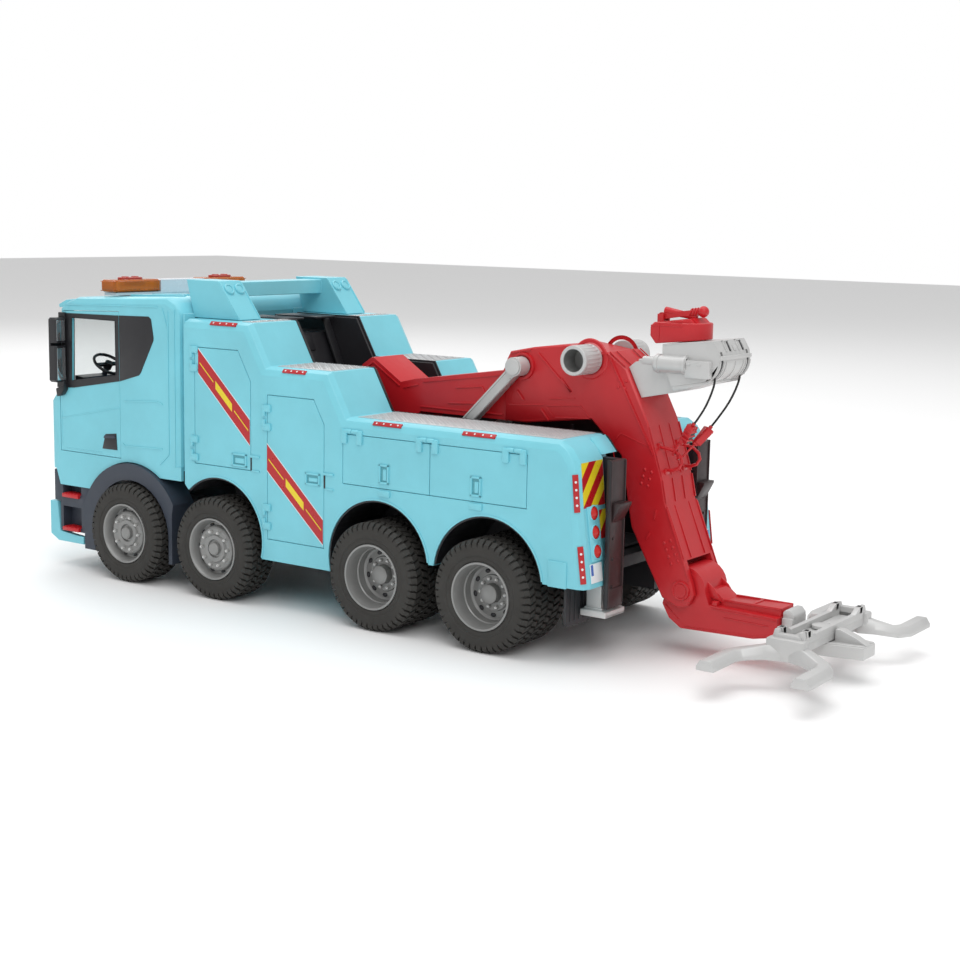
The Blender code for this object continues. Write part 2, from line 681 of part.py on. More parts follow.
def front_fenders():
    """Both arches over the first axle, the step boxes and the bridge between them."""
    x, z = AXLE_X[0], AXLE_Z
    inner_radius = WHEEL_RADIUS + FENDER_CLEARANCE
    top_z = CAB_FLOOR_Z - GAP
    foot = z - 17.5
    bridge = box("front_fenders", (x - 22, x + 45),
                 (-CAB_HALF_WIDTH + 14, CAB_HALF_WIDTH - 14), (73, top_z - 0.6), "grey")
    wheel = arc((x, z), inner_radius, 180, 0, 17)
    outer = [(x + inner_radius + 10.5, foot), (x + inner_radius + 10.5, 50)]
    outer += arc(FENDER_CENTRE, FENDER_RADIUS, 31, 150, 20)
    outer += [(x - inner_radius - 3.3, 50), (x - inner_radius - 3.3, foot)]
    band = [(x - inner_radius, foot)] + wheel + [(x + inner_radius, foot)] + outer
    for name, side in SIDES:
        join(bridge, slab(f"fender_{name}", band, span(side, 60, CAB_HALF_WIDTH + 2.5)))
        steps = box(f"step_box_{name}", (x + 44, CAB_FRONT_X - 8.3),
                    span(side, 62, CAB_HALF_WIDTH - 0.4), (26.5, SKIRT_FRONT_Z - GAP))
        treads = [box(f"step_{low}_{name}", (x + 53, CAB_FRONT_X - 11),
                      span(side, CAB_HALF_WIDTH - 8, 100), (low, low + 15)) for low in (29, 53)]
        cut(steps, *treads)
        join(bridge, steps)
    join(bridge, box("grille_bar", (CAB_FRONT_X - 12, CAB_FRONT_X - 3.5), (-64, 64), (48, 69.2)))


cab_shell()
cab_glazing()
cab_interior()
steering_wheel()
front_bumper()
front_fenders()
for label, sign in SIDES:
    cab_door(label, sign)
    mirror(label, sign)


# ---- light bar and roll bar ----------------------------------------------------------------
def light_bar():
    """A white bar on the roof with an amber lens at each end and a red button in each lens."""
    x0, x1 = LIGHT_BAR_X
    foot_z = ROOF_FRONT_Z + 1.6
    seat_z = foot_z + 2.0
    top_z = foot_z + 10.8
    inner = LIGHT_BAR_HALF_WIDTH - LENS_LENGTH
    bar = box("light_bar", (x0 + 1, x1 - 2), (-LIGHT_BAR_HALF_WIDTH + 2, LIGHT_BAR_HALF_WIDTH - 2),
              (foot_z, seat_z), "white")
    join(bar, box("light_bar_middle", (x0 + 0.6, x1 - 1), (GAP - inner, inner - GAP), (seat_z - 1, top_z - 0.5)))
    for name, side in SIDES:
        lens = box(f"amber_lens_{name}", (x0, x1), span(side, inner, LIGHT_BAR_HALF_WIDTH),
                   (seat_z + GAP, top_z), "amber")
        soften(lens, 1.6, 1)
        centre_y = side * (inner + 0.52 * LENS_LENGTH)
        centre_x = 0.5 * (x0 + x1)
        pocket = stadium(f"button_pocket_{name}", centre_x, centre_y, 5.0, (top_z - 4.4, top_z + 5), None)
        cut(lens, pocket)
        button = stadium(f"siren_button_{name}", centre_x, centre_y, 4.5,
                         (top_z - 4.4 + BUTTON_TRAVEL + GAP, top_z + 1.5), "red")
        hang(empty(f"button_slide_{name}", (centre_x, centre_y, top_z), DATUM), button)


def stadium(name, x, y, radius, z, colour):
    """A long round-ended button or pocket, lying across the truck."""
    straight = 5.5
    points = [(x + u, y + straight + v) for u, v in arc((0, 0), radius, 0, 180, 9)]
    points += [(x + u, y - straight + v) for u, v in arc((0, 0), radius, 180, 360, 9)]
    return slab(name, points, z, colour, "xy")


def roll_bar():
    """Two raked posts on the body's front step, joined by a beam."""
    foot_z = STEP_1_Z + GAP
    rear_foot, front_foot = CAB_REAR_X - 42, CAB_REAR_X - 1.5
    outline = [(front_foot, foot_z), (front_foot + 7, ARCH_TOP_Z), (rear_foot + 18.5, ARCH_TOP_Z),
               (rear_foot, foot_z)]
    arch = box("roll_bar_arch", (front_foot - 17, front_foot), (-ARCH_POST_Y[0] - 1, ARCH_POST_Y[0] + 1),
               (ARCH_TOP_Z - 11, ARCH_TOP_Z - 1.5), "blue")
    for name, side in SIDES:
        join(arch, slab(f"arch_post_{name}", outline, span(side, *ARCH_POST_Y)))


light_bar()
roll_bar()


# ---- boom, mast and crane head -------------------------------------------------------------
BOOM_OUTLINE = [
    (150, 148), (146, 156), (137.6, 161.5), (114.3, 146.6), (101.8, 149.5), (34.5, 159.5),
    (27.5, 172), (10.7, 175.5), (-14.2, 178.6), (-36.4, 175.5), (-41.8, 175.8), (-54.5, 166.5),
    (-69.9, 136.5), (-80.6, 104.2), (-83.5, 90.6), (-102.5, 44.1), (-104.0, 38.0),
    (-100.5, 31.5), (-94.0, 29.5), (-83.2, 34.1), (-60.8, 73.7), (-52.6, 115.3), (-31.3, 135.0),
    (14.9, 129.0), (98.0, 129.0), (120.0, 108.0), (140.0, 108.0), (150, 118)]
HEAD_FACE = ((-54.5, 166.5), (-69.9, 136.5))          # rear face of the mast that the head meets
TOW_LUG_Y = 11.0
TOW_LUG_PATH = ((-74.0, 121.8), (-80.0, 121.2), (-85.0, 120.0), (-88.6, 117.2), (-89.6, 113.6),
                (-87.6, 110.4), (-83.6, 108.8), (-76.0, 108.4))


def boom():
    """The boom and mast in one piece, slim in front, forked at the foot for the underlift."""
    piece = slab("boom", BOOM_OUTLINE, (-MAST_HALF_WIDTH, MAST_HALF_WIDTH), "red")
    soften(piece, 0.9, 1, angle=60)
    tools = [box(f"boom_waist_{name}", (30, 200), span(side, BOOM_HALF_WIDTH, 40), (90, 220))
             for name, side in SIDES]
    slot = ARM_HALF_WIDTH + 0.6
    tools.append(box("mast_fork", (-130, -60), (-slot, slot), (0, ARM_PIVOT[1] + 17.5)))
    for name, side in SIDES:
        tools.append(rod(f"knob_bore_{name}", (KNOB_CENTRE[0], side * MAST_HALF_WIDTH, KNOB_CENTRE[1]),
                         3.4, 14))
    cut(piece, *tools)
    tools = [rod("boom_pin", (BOOM_PIVOT[0], 0, BOOM_PIVOT[1]), 4.0, 2 * (BAY_HALF_WIDTH - 1.2), sides=16),
             rod("arm_pin", (ARM_PIVOT[0], 0, ARM_PIVOT[1]), ARM_PIN_RADIUS, 2 * MAST_HALF_WIDTH + 1.6,
                 sides=16)]
    for name, side in SIDES:
        tools.append(rod(f"strut_boss_{name}", (STRUT_PIVOT[0], side * (MAST_HALF_WIDTH - 1), STRUT_PIVOT[1]),
                         6.8, 3.0))
        tools.append(tube(f"tow_lug_{name}", [(x, side * TOW_LUG_Y, z) for x, z in TOW_LUG_PATH], 2.0))
    join(piece, *tools)
    return piece


def strut(name, side):
    """A bar from the mast down into the bay, hinged at its upper end."""
    x, z = STRUT_PIVOT
    reach = STRUT_LENGTH / math.sqrt(2)
    half = 3.4 / math.sqrt(2)
    bar = slab(f"strut_{name}", [(x - half, z - half), (x + half, z + half),
                                 (x + reach + half, z - reach + half), (x + reach - half, z - reach - half)],
               span(side, *STRUT_Y), "silver")
    join(bar, rod(f"strut_head_{name}", (x, side * 0.5 * (STRUT_Y[0] + STRUT_Y[1] + 3.4), z), 5.9,
                  STRUT_Y[1] - STRUT_Y[0] + 3.3))
    return bar


def winch_knob(name, side):
    """A hollow ribbed knob on a stub shaft in the side of the mast."""
    foot = MAST_HALF_WIDTH + 0.7
    end = foot + KNOB_LENGTH
    profile = [(0, end - 13), (KNOB_RADIUS - 2.2, end - 13), (KNOB_RADIUS - 2.0, end), (KNOB_RADIUS, end),
               (KNOB_RADIUS - 0.3, foot), (3.0, foot), (3.0, foot - 6.5), (0, foot - 6.5)]
    if side < 0:
        profile = [(radius, -height) for radius, height in reversed(profile)]
    return turned(f"winch_knob_{name}", profile, (KNOB_CENTRE[0], 0, KNOB_CENTRE[1]), "silver", 24, False)


DRUM_CENTRE = (-103.0, 174.6)
DRUM_RADIUS = 12.4
DRUM_HALF_WIDTH = 19.2
HEAD_FRONT_X = -78.3
ROPE_Y = 16.0
HEAD_TOP = ((-66.0, 181.4), (-104.0, 185.5))


def head_line(x, rise=0.0):
    """Height of the head's top seat at x."""
    (x0, z0), (x1, z1) = HEAD_TOP
    return z0 + (x - x0) * (z1 - z0) / (x1 - x0) + rise


def crane_head():
    """A cast head behind the mast: a wide plate with a round rear end and two rope slots."""
    (ax, az), (bx, bz) = HEAD_FACE
    slope = (ax - bx) / (az - bz)
    low_z = 150.2

    def face_x(z):
        return ax + (z - az) * slope - 1.3 * GAP

    beam = [(face_x(167.5), 167.5), (face_x(low_z), low_z), (-86, 155), (-106, 161.5),
            (-106, 178), (-70, 172.6), (-58.5, 171.0)]
    head = slab("crane_head", beam, (-15, 15), "silver")
    corner_x = -110.8
    plate = [(-81.7, 165.8), (HEAD_FRONT_X, 166.0), (HEAD_FRONT_X, head_line(HEAD_FRONT_X)),
             (corner_x, head_line(corner_x))]
    plate += arc(DRUM_CENTRE, DRUM_RADIUS, 157, 253, 12) + [(-84.9, 158.2)]
    parts = [slab("head_plate", plate, (-DRUM_HALF_WIDTH, DRUM_HALF_WIDTH))]
    slots = []
    for name, side in SIDES:
        parts.append(rod(f"head_ram_{name}", (-85, side * 18.8, 171.4), 5.2, 21, "x", sides=20))
        parts.append(box(f"head_block_{name}", (-110.5, -95.2), span(side, 15, 22.8), (164.8, 174.4)))
        slots.append(box(f"rope_slot_{name}", (-130, -105), span(side, ROPE_Y - 1.3, ROPE_Y + 1.3),
                         (150, 180)))
    join(head, *parts)
    return cut(head, *slots)


def head_cover():
    """The red cover on top of the head, with two ears for the lever."""
    seat = GAP + 0.1
    rear_centre_x, half_width = -87.0, 12.0
    outline = [(-69.5, head_line(-69.5, seat)), (-65.8, 186.6), (-65.8, 192.0), (-68.2, 194.6),
               (rear_centre_x - 14, 194.8), (rear_centre_x - 14, head_line(rear_centre_x - 14, seat))]
    cover = slab("head_cover", outline, (-half_width, half_width), "red")
    plan = [(-60, -half_width), (-60, half_width)]
    plan += arc((rear_centre_x, 0), half_width, 90, 270, 13)
    combine(cover, "INTERSECT", [slab("cover_plan", plan, (170, 210), plane="xy")])
    soften(cover, 1.0, 1, angle=40)
    hump = [(-69.0, 193.5), (-69.0, 194.6), (-90.8, 197.6), (-94.2, 194.2), (-94.2, 193.5)]
    join(cover, slab("cover_hump", hump, (-7.5, 7.5)))
    pin = rod("lever_pin", (LEVER_PIVOT[0], 0, LEVER_PIVOT[1]), 0.9, 7.0, sides=10)
    ears = [box(f"lever_ear_{name}", (-69.8, -66.0), span(side, 2.6, 4.2), (193.5, 198.9))
            for name, side in SIDES]
    join(cover, *ears, pin)
    return cover


def head_lever():
    """A tapered lever with a ball grip, lying over the cover."""
    x, z = LEVER_PIVOT
    bar = slab("head_lever", [(x + 0.4, z - 1.8), (x + 0.4, z + 1.8), (x - 24, z + 5.1), (x - 24, z + 2.3)],
               (-2.0, 2.0), "red")
    join(bar, rod("lever_eye", (x, 0, z), 2.4, 4.4, sides=16),
         ball("lever_ball", (x - 26.2, 0, z + 3.8), 3.2))
    cut(bar, rod("lever_bore", (x, 0, z), 1.25, 9, sides=12))
    return bar


HOOKS = {
    # side: rope end, point of the tow lug it hangs on, side of the lug its wire comes down
    "left": ((-96.0, 11.8, 136.3), 2, 1),
    "right": ((-99.0, -3.1, 133.4), 3, -1),
}
HOOK_HEAD = 12.5


def towards(start, end, distance):
    """The point at a distance from start towards end."""
    length = math.dist(start, end)
    return tuple(a + (b - a) * distance / length for a, b in zip(start, end))


def hook(name):
    """A block on the rope's end and a wire hook that turns through the tow lug."""
    top, index, coming = HOOKS[name]
    (x0, z0), (x, z), (x1, z1) = TOW_LUG_PATH[index - 1:index + 2]
    run = math.hypot(x1 - x0, z1 - z0)
    inward = ((z0 - z1) / run, (x1 - x0) / run)       # across the lug, towards its middle
    wire = 1.5
    bend = 1.0 + 0.5 + 0.5 * wire                     # lug radius, clearance, half the wire

    def around(angle):
        """A point of the wire's turn about the lug."""
        across = coming * bend * math.cos(math.radians(angle))
        through = bend * math.sin(math.radians(angle))
        return (x + through * inward[0], TOW_LUG_Y + across, z + through * inward[1])

    start = around(0)
    low = towards(top, start, HOOK_HEAD)
    axis = [(b - a) / math.dist(top, start) for a, b in zip(top, start)]
    block = bpy.data.meshes.new(f"hook_{name}")
    work = bmesh.new()
    bmesh.ops.create_cone(work, cap_ends=True, segments=4, radius1=2.0 * MM, radius2=3.8 * MM,
                          depth=HOOK_HEAD * MM)
    work.to_mesh(block)
    work.free()
    middle = towards(top, start, 0.5 * HOOK_HEAD + 0.4)
    yaw = math.atan2(axis[1], axis[0])
    lean = math.acos(-axis[2])
    turn = Matrix.Rotation(yaw, 4, "Z") @ Matrix.Rotation(-lean, 4, "Y") @ Matrix.Rotation(0.25 * math.pi, 4, "Z")
    piece = place(f"hook_{name}", block, "red",
                  Matrix.Translation([value * MM for value in middle]) @ turn)
    points = [low] + [around(angle) for angle in range(0, 211, 30)]
    return join(piece, tube(f"hook_wire_{name}", points, wire, resolution=1))


ROPES = {
    "left": ((-106.5, 16.0, 172.0), (-110.6, 16.0, 166.0), (-110.0, 15.5, 159.5), (-105.2, 14.0, 149.0),
             (-99.6, 12.6, 140.8), (-96.4, 11.9, 136.9)),
    "right": ((-106.5, -16.0, 172.0), (-110.4, -16.0, 166.0), (-110.2, -14.9, 159.5), (-107.2, -10.8, 149.0),
              (-102.4, -5.8, 139.0), (-99.4, -3.4, 134.0)),
}


def smooth_route(points, count):
    """Points along a smooth curve through the route's own points."""
    route = [points[0]] + list(points) + [points[-1]]
    result = []
    for index in range(1, len(route) - 2):
        p0, p1, p2, p3 = route[index - 1:index + 3]
        for step in range(count):
            t = step / count
            weights = (0.5 * (-t + 2 * t * t - t ** 3), 0.5 * (2 - 5 * t * t + 3 * t ** 3),
                       0.5 * (t + 4 * t * t - 3 * t ** 3), 0.5 * (-t * t + t ** 3))
            result.append(tuple(sum(w * p[axis] for w, p in zip(weights, (p0, p1, p2, p3)))
                                for axis in range(3)))
    result.append(points[-1])
    return result


def rope(name):
    """A winch rope from the drum's slot to its hook."""
    return tube(f"rope_{name}", smooth_route(ROPES[name], 3), ROPE_DIAMETER, "rope")


boom_hinge = empty("boom_hinge", (BOOM_PIVOT[0], 0, BOOM_PIVOT[1]), DATUM)
hang(boom_hinge, boom(), crane_head(), head_cover())
for label, sign in SIDES:
    hang(boom_hinge, hook(label), rope(label))
    strut_hinge = empty(f"strut_hinge_{label}", (STRUT_PIVOT[0], 0, STRUT_PIVOT[1]), DATUM)
    hang(strut_hinge, strut(label, sign))
    knob_axis = empty(f"knob_axis_{label}", (KNOB_CENTRE[0], 0, KNOB_CENTRE[1]), DATUM)
    hang(knob_axis, winch_knob(label, sign))
hang(empty("lever_hinge", (LEVER_PIVOT[0], 0, LEVER_PIVOT[1]), DATUM), head_lever())


# ---- underlift -----------------------------------------------------------------------------
def underlift_arm():
    """A hollow arm that folds about the pin at the foot of the mast."""
    x, z = ARM_PIVOT
    lower = [(-81.6, 29.6), (-86.2, 21.7), (-94.1, 16.5), (-141, 17.6), (-152.7, 20.0),
             (ARM_END_X, 20.5), (ARM_END_X, 31.5), (-112, 33.0), (-107, 46), (-96, 52), (-86, 46)]
    arm = slab("underlift_arm", lower, (-ARM_HALF_WIDTH, ARM_HALF_WIDTH), "red")
    ridge = slab("arm_ridge", [(-104, 28), (ARM_END_X + 0.4, 28), (ARM_END_X + 0.4, 36.2), (-119.8, 35.6),
                               (-112.6, 41.0), (-104, 41.0)], (-8.5, 8.5))
    knuckle = rod("arm_knuckle", (x, 0, z), 13.6, 2 * ARM_HALF_WIDTH - 0.2, sides=28)
    join(arm, ridge, knuckle)
    clearance = 0.5
    channel = box("slide_channel", (ARM_END_X - 10, -110), (-SLIDE_HALF_WIDTH - clearance,
                  SLIDE_HALF_WIDTH + clearance), (SLIDE_Z[0] - clearance, SLIDE_Z[1] + clearance))
    bore = rod("arm_bore", (x, 0, z), ARM_PIN_RADIUS + 0.4, 80)
    return cut(arm, channel, bore)


def fork_slide():
    """The telescoping bar, its collar and the tongue that carries the crossbar."""
    collar_x = ARM_END_X - GAP
    bar = box("fork_slide", (collar_x - 4, -114), (-SLIDE_HALF_WIDTH, SLIDE_HALF_WIDTH), SLIDE_Z, "silver")
    tongue = slab("tongue", [(collar_x - 1, -6.5), (-168, -12), (-182, -13), (FORK_REAR_X + 3, -8),
                             (FORK_REAR_X + 3, 8), (-182, 13), (-168, 12), (collar_x - 1, 6.5)],
                  (14.5, 21.5), plane="xy")
    collar = box("slide_collar", (-163, collar_x), (-6.5, 6.5), (16.5, 33.0))
    pin = rod("fork_pin", (FORK_PIVOT_X, 0, 24), 4.0, 8.0, "z", sides=16)
    return join(bar, collar, tongue, pin)


def crossbar():
    """A ribbed bar that swivels on the tongue, with upright lugs at its ends."""
    half = CROSSBAR_HALF_LENGTH
    x0, x1 = FORK_PIVOT_X - 9, FORK_PIVOT_X + 9
    bar = box("crossbar", (x0, x1), (-half, half), (22.3, 26.5), "silver")
    for edge in (x0 + 0.2, x1 - 3.2):
        join(bar, box(f"crossbar_rib_{edge:.0f}", (edge, edge + 3), (-half + 0.2, half - 0.2), (25, 30.5)))
        for name, side in SIDES:
            join(bar, box(f"crossbar_lug_{edge:.0f}_{name}", (edge - 0.1, edge + 3.1),
                          span(side, half - 5, half - 0.1), (26, 34.0)))
    return cut(bar, rod("fork_bore", (FORK_PIVOT_X, 0, 24), 4.4, 20, "z"))


def wheel_grid(name, side):
    """A wheel cradle: a raised block on the crossbar's end and two arms pointing outwards."""
    inner = CROSSBAR_HALF_LENGTH + GAP
    front, rear = -143.0, FORK_REAR_X
    arm = 10.0
    plan = [(front, GRID_REACH_Y), (front - arm, GRID_REACH_Y), (front - arm, inner + 13),
            (front - arm - 6, inner + 9), (rear + arm + 7, inner + 9), (rear + arm + 1, inner + 13),
            (rear + arm + 1, GRID_REACH_Y), (rear, GRID_REACH_Y), (rear, inner + 3), (rear + 5, inner),
            (front - 5, inner), (front, inner + 5)]
    grid = slab(f"wheel_grid_{name}", [(x, side * y) for x, y in plan], (15.5, 21.5), "silver", "xy")
    block = box(f"grid_block_{name}", (FORK_PIVOT_X - 11, FORK_PIVOT_X + 12),
                span(side, inner + 0.1, inner + 8.5), (16, 30.0))
    return join(grid, block)


arm_hinge = empty("arm_hinge", (ARM_PIVOT[0], 0, ARM_PIVOT[1]), DATUM)
hang(arm_hinge, underlift_arm())
hang(empty("fork_slide_axis", (ARM_END_X, 0, SLIDE_Z[0]), DATUM), fork_slide())
fork_swivel = empty("fork_swivel", (FORK_PIVOT_X, 0, 24), DATUM)
hang(fork_swivel, crossbar())
for label, sign in SIDES:
    hang(fork_swivel, wheel_grid(label, sign))
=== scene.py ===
"""Toy recovery truck: the visual model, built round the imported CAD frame.

Lengths are in the CAD's design millimetres (x counts from the rearmost axle) and become metres
in the row frame when a mesh is made. +X front, +Y left side, +Z up, floor at z = 0.
"""
import json
import math

import bmesh
import bpy
from mathutils import Matrix, Vector

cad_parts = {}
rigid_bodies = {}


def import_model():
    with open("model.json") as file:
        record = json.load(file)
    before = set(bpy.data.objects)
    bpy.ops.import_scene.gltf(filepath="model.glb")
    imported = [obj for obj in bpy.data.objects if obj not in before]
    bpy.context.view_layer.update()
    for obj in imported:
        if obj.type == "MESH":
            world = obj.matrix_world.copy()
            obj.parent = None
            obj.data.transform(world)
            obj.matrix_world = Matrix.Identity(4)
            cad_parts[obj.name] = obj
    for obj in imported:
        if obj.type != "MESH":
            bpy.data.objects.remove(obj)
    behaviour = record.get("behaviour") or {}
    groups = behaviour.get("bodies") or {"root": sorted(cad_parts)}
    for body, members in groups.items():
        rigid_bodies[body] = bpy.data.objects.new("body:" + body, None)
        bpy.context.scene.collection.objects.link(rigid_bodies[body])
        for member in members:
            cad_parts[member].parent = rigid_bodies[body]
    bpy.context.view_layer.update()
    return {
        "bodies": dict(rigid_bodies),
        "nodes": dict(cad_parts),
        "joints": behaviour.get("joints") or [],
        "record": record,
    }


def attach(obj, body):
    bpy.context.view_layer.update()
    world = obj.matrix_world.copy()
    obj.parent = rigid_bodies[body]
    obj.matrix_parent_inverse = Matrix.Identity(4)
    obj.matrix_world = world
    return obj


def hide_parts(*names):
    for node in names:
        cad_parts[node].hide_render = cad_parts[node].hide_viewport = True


MM = 0.001
DATUM_X = -87.25
SIDES = (("left", 1), ("right", -1))

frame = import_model()
NODES = frame["nodes"]
BODY_OF = {node: body for body, nodes in frame["record"]["behaviour"]["bodies"].items() for node in nodes}
ROOT = "truck"
AXLE_X = (297.7, 214.9, 81.6, 0.0)
WHEEL_Z = 34.0
ARCH_Z = 42.0
MAST_Y = 18.5                     # half widths of the boom's mast and its waist
WAIST_Y = 15.6
KNOB_AXIS = (-29.7, 0, 171.0)
STRUT_PIN = (17.8, 163.6)
ARM_PIN = (-95.8, 0, 40.0)
DRUM_CENTRE, DRUM_RADIUS = (-103.0, 174.6), 12.4


def at(x, y, z):
    """A point in design millimetres as a row-frame vector in metres."""
    return Vector(((x + DATUM_X) * MM, y * MM, z * MM))


TO_ROW = Matrix.Translation((DATUM_X * MM, 0, 0)) @ Matrix.Scale(MM, 4)

# ---- camera --------------------------------------------------------------------------------
YAW, PITCH, ROLL = math.radians(-55.025), math.radians(9.076), math.radians(1.0995)


def set_camera():
    """The camera: where it stands, where it looks, and its roll."""
    ahead = Vector((math.cos(PITCH) * math.cos(YAW), math.cos(PITCH) * math.sin(YAW), -math.sin(PITCH)))
    level = Vector((math.sin(YAW), -math.cos(YAW), 0))
    above = level.cross(ahead)
    right = math.cos(ROLL) * level + math.sin(ROLL) * above
    up = math.cos(ROLL) * above - math.sin(ROLL) * level
    data = bpy.data.cameras.new("camera")
    data.lens = 62.23
    data.sensor_width = 36.0
    data.clip_start = 0.01
    data.clip_end = 20.0
    camera = bpy.data.objects.new("camera", data)
    bpy.context.scene.collection.objects.link(camera)
    basis = Matrix((right, up, -ahead)).transposed().to_4x4()
    camera.matrix_world = Matrix.Translation((-0.62795, 0.8606, 0.2540)) @ basis
    bpy.context.scene.camera = camera


set_camera()


# ---- materials -----------------------------------------------------------------------------
def new_material(name):
    material = bpy.data.materials.new(name)
    material.use_nodes = True
    return material, material.node_tree, material.node_tree.nodes["Principled BSDF"]


def noise(tree, scale, detail=4.0, roughness=0.55):
    """A noise texture on the piece's own coordinates."""
    coordinates = tree.nodes.new("ShaderNodeTexCoord")
    texture = tree.nodes.new("ShaderNodeTexNoise")
    texture.inputs["Scale"].default_value = scale
    texture.inputs["Detail"].default_value = detail
    texture.inputs["Roughness"].default_value = roughness
    tree.links.new(coordinates.outputs["Object"], texture.inputs["Vector"])
    return texture


def ranged(tree, source, low, high):
    """The source mapped from its usual 0.3 to 0.7 onto a range."""
    mapping = tree.nodes.new("ShaderNodeMapRange")
    mapping.inputs["From Min"].default_value = 0.3
    mapping.inputs["From Max"].default_value = 0.7
    mapping.inputs["To Min"].default_value = low
    mapping.inputs["To Max"].default_value = high
    tree.links.new(source, mapping.inputs["Value"])
    return mapping.outputs["Result"]


def tinted(tree, source, colour, spread):
    """A colour that wanders a little with the source."""
    mix = tree.nodes.new("ShaderNodeMix")
    mix.data_type = "RGBA"
    mix.inputs["A"].default_value = (*[c * (1 - spread) for c in colour], 1)
    mix.inputs["B"].default_value = (*[min(1.0, c * (1 + spread)) for c in colour], 1)
    tree.links.new(ranged(tree, source, 0.0, 1.0), mix.inputs["Factor"])
    return mix.outputs["Result"]


def plastic(name, colour, rough=0.35, metallic=0.0, grain=0.02, grain_scale=2500.0, spread=0.05):
    """Moulded plastic: faint flow marks in its colour, an uneven sheen and a fine mould grain."""
    material, tree, shader = new_material(name)
    broad = noise(tree, 30.0)
    fine = noise(tree, grain_scale, 3.0)
    tree.links.new(tinted(tree, broad.outputs["Fac"], colour, spread), shader.inputs["Base Color"])
    tree.links.new(ranged(tree, noise(tree, 160.0, 5.0).outputs["Fac"], rough - 0.05, rough + 0.07),
                   shader.inputs["Roughness"])
    shader.inputs["Metallic"].default_value = metallic
    bump = tree.nodes.new("ShaderNodeBump")
    bump.inputs["Strength"].default_value = 0.35
    bump.inputs["Distance"].default_value = grain * MM
    tree.links.new(fine.outputs["Fac"], bump.inputs["Height"])
    tree.links.new(bump.outputs["Normal"], shader.inputs["Normal"])
    return material


def clear(name, colour, rough, weight, ior=1.49):
    """A clear or tinted clear plastic."""
    material, tree, shader = new_material(name)
    tree.links.new(ranged(tree, noise(tree, 90.0).outputs["Fac"], rough, rough + 0.05),
                   shader.inputs["Roughness"])
    shader.inputs["Base Color"].default_value = (*colour, 1)
    shader.inputs["Transmission Weight"].default_value = weight
    shader.inputs["IOR"].default_value = ior
    return material


BLUE = plastic("turquoise", (0.196, 0.590, 0.690), 0.36, grain=0.03)
RED = plastic("red", (0.520, 0.012, 0.018), 0.34, grain=0.03)
SILVER = plastic("silver", (0.56, 0.56, 0.555), 0.44, 0.30, grain=0.10, grain_scale=1500.0)
BLACK = plastic("black", (0.016, 0.016, 0.019), 0.42, grain=0.05)
GREY = plastic("fender_grey", (0.036, 0.046, 0.066), 0.46, grain=0.05)
RUBBER = plastic("rubber", (0.030, 0.028, 0.025), 0.72, grain=0.08, grain_scale=1800.0, spread=0.15)
RIM = plastic("rim", (0.26, 0.26, 0.255), 0.40, 0.35, grain=0.05)
NUT = plastic("lug_nut", (0.62, 0.62, 0.61), 0.28, 0.6, grain=0.02)
MAROON = plastic("maroon_black", (0.030, 0.017, 0.018), 0.40, grain=0.05)
PLATE = plastic("tread_plate", (0.50, 0.505, 0.51), 0.42, 0.15, grain=0.08, grain_scale=1500.0)
AMBER = clear("amber", (0.78, 0.20, 0.012), 0.10, 0.55)
# A darker turquoise used only as painted shade on the recess floors inside the door handle frames.
BLUE_PAINTED_SHADE = plastic("blue_painted_shade", (0.10, 0.36, 0.42), 0.5)
BUTTON = plastic("button_red", (0.42, 0.035, 0.020), 0.22, grain=0.01)
WHITE = plastic("bar_white", (0.66, 0.69, 0.74), 0.25, grain=0.01)
GLASS = clear("windscreen", (0.86, 0.90, 0.90), 0.02, 0.95)
LENS_RED = plastic("lens_red", (0.50, 0.015, 0.012), 0.18, grain=0.01)
STICK_RED = plastic("sticker_red", (0.45, 0.010, 0.014), 0.30, grain=0.005)
STICK_YELLOW = plastic("sticker_yellow", (0.80, 0.62, 0.02), 0.30, grain=0.005)
STICK_WHITE = plastic("sticker_white", (0.75, 0.78, 0.80), 0.30, grain=0.005)
STICK_BLUE = plastic("sticker_blue", (0.03, 0.12, 0.45), 0.30, grain=0.005)
ROPE = plastic("rope", (0.012, 0.012, 0.012), 0.75, grain=0.15, grain_scale=1500.0)
MIRROR_GLASS = plastic("mirror_foil", (0.70, 0.72, 0.74), 0.12, 0.9, grain=0.0)


# ---- pieces --------------------------------------------------------------------------------
AXES = {"x": Matrix.Rotation(math.radians(90), 4, "Y"), "y": Matrix.Rotation(math.radians(-90), 4, "X"),
        "z": Matrix.Identity(4)}
PLANES = {"xz": Matrix.Rotation(math.radians(90), 4, "X"), "xy": Matrix.Identity(4),
          "yz": Matrix(((0, 0, 1, 0), (1, 0, 0, 0), (0, 1, 0, 0), (0, 0, 0, 1)))}
THIRD = {"xz": Vector((0, 1, 0)), "xy": Vector((0, 0, 1)), "yz": Vector((1, 0, 0))}


def finish_piece(item, body, material, smooth=35):
    """Shade, paint and let the piece ride on its body."""
    item.data.materials.clear()
    item.data.materials.append(material)
    item.data.shade_smooth()
    item.data.set_sharp_from_angle(angle=math.radians(smooth))
    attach(item, body)
    return item


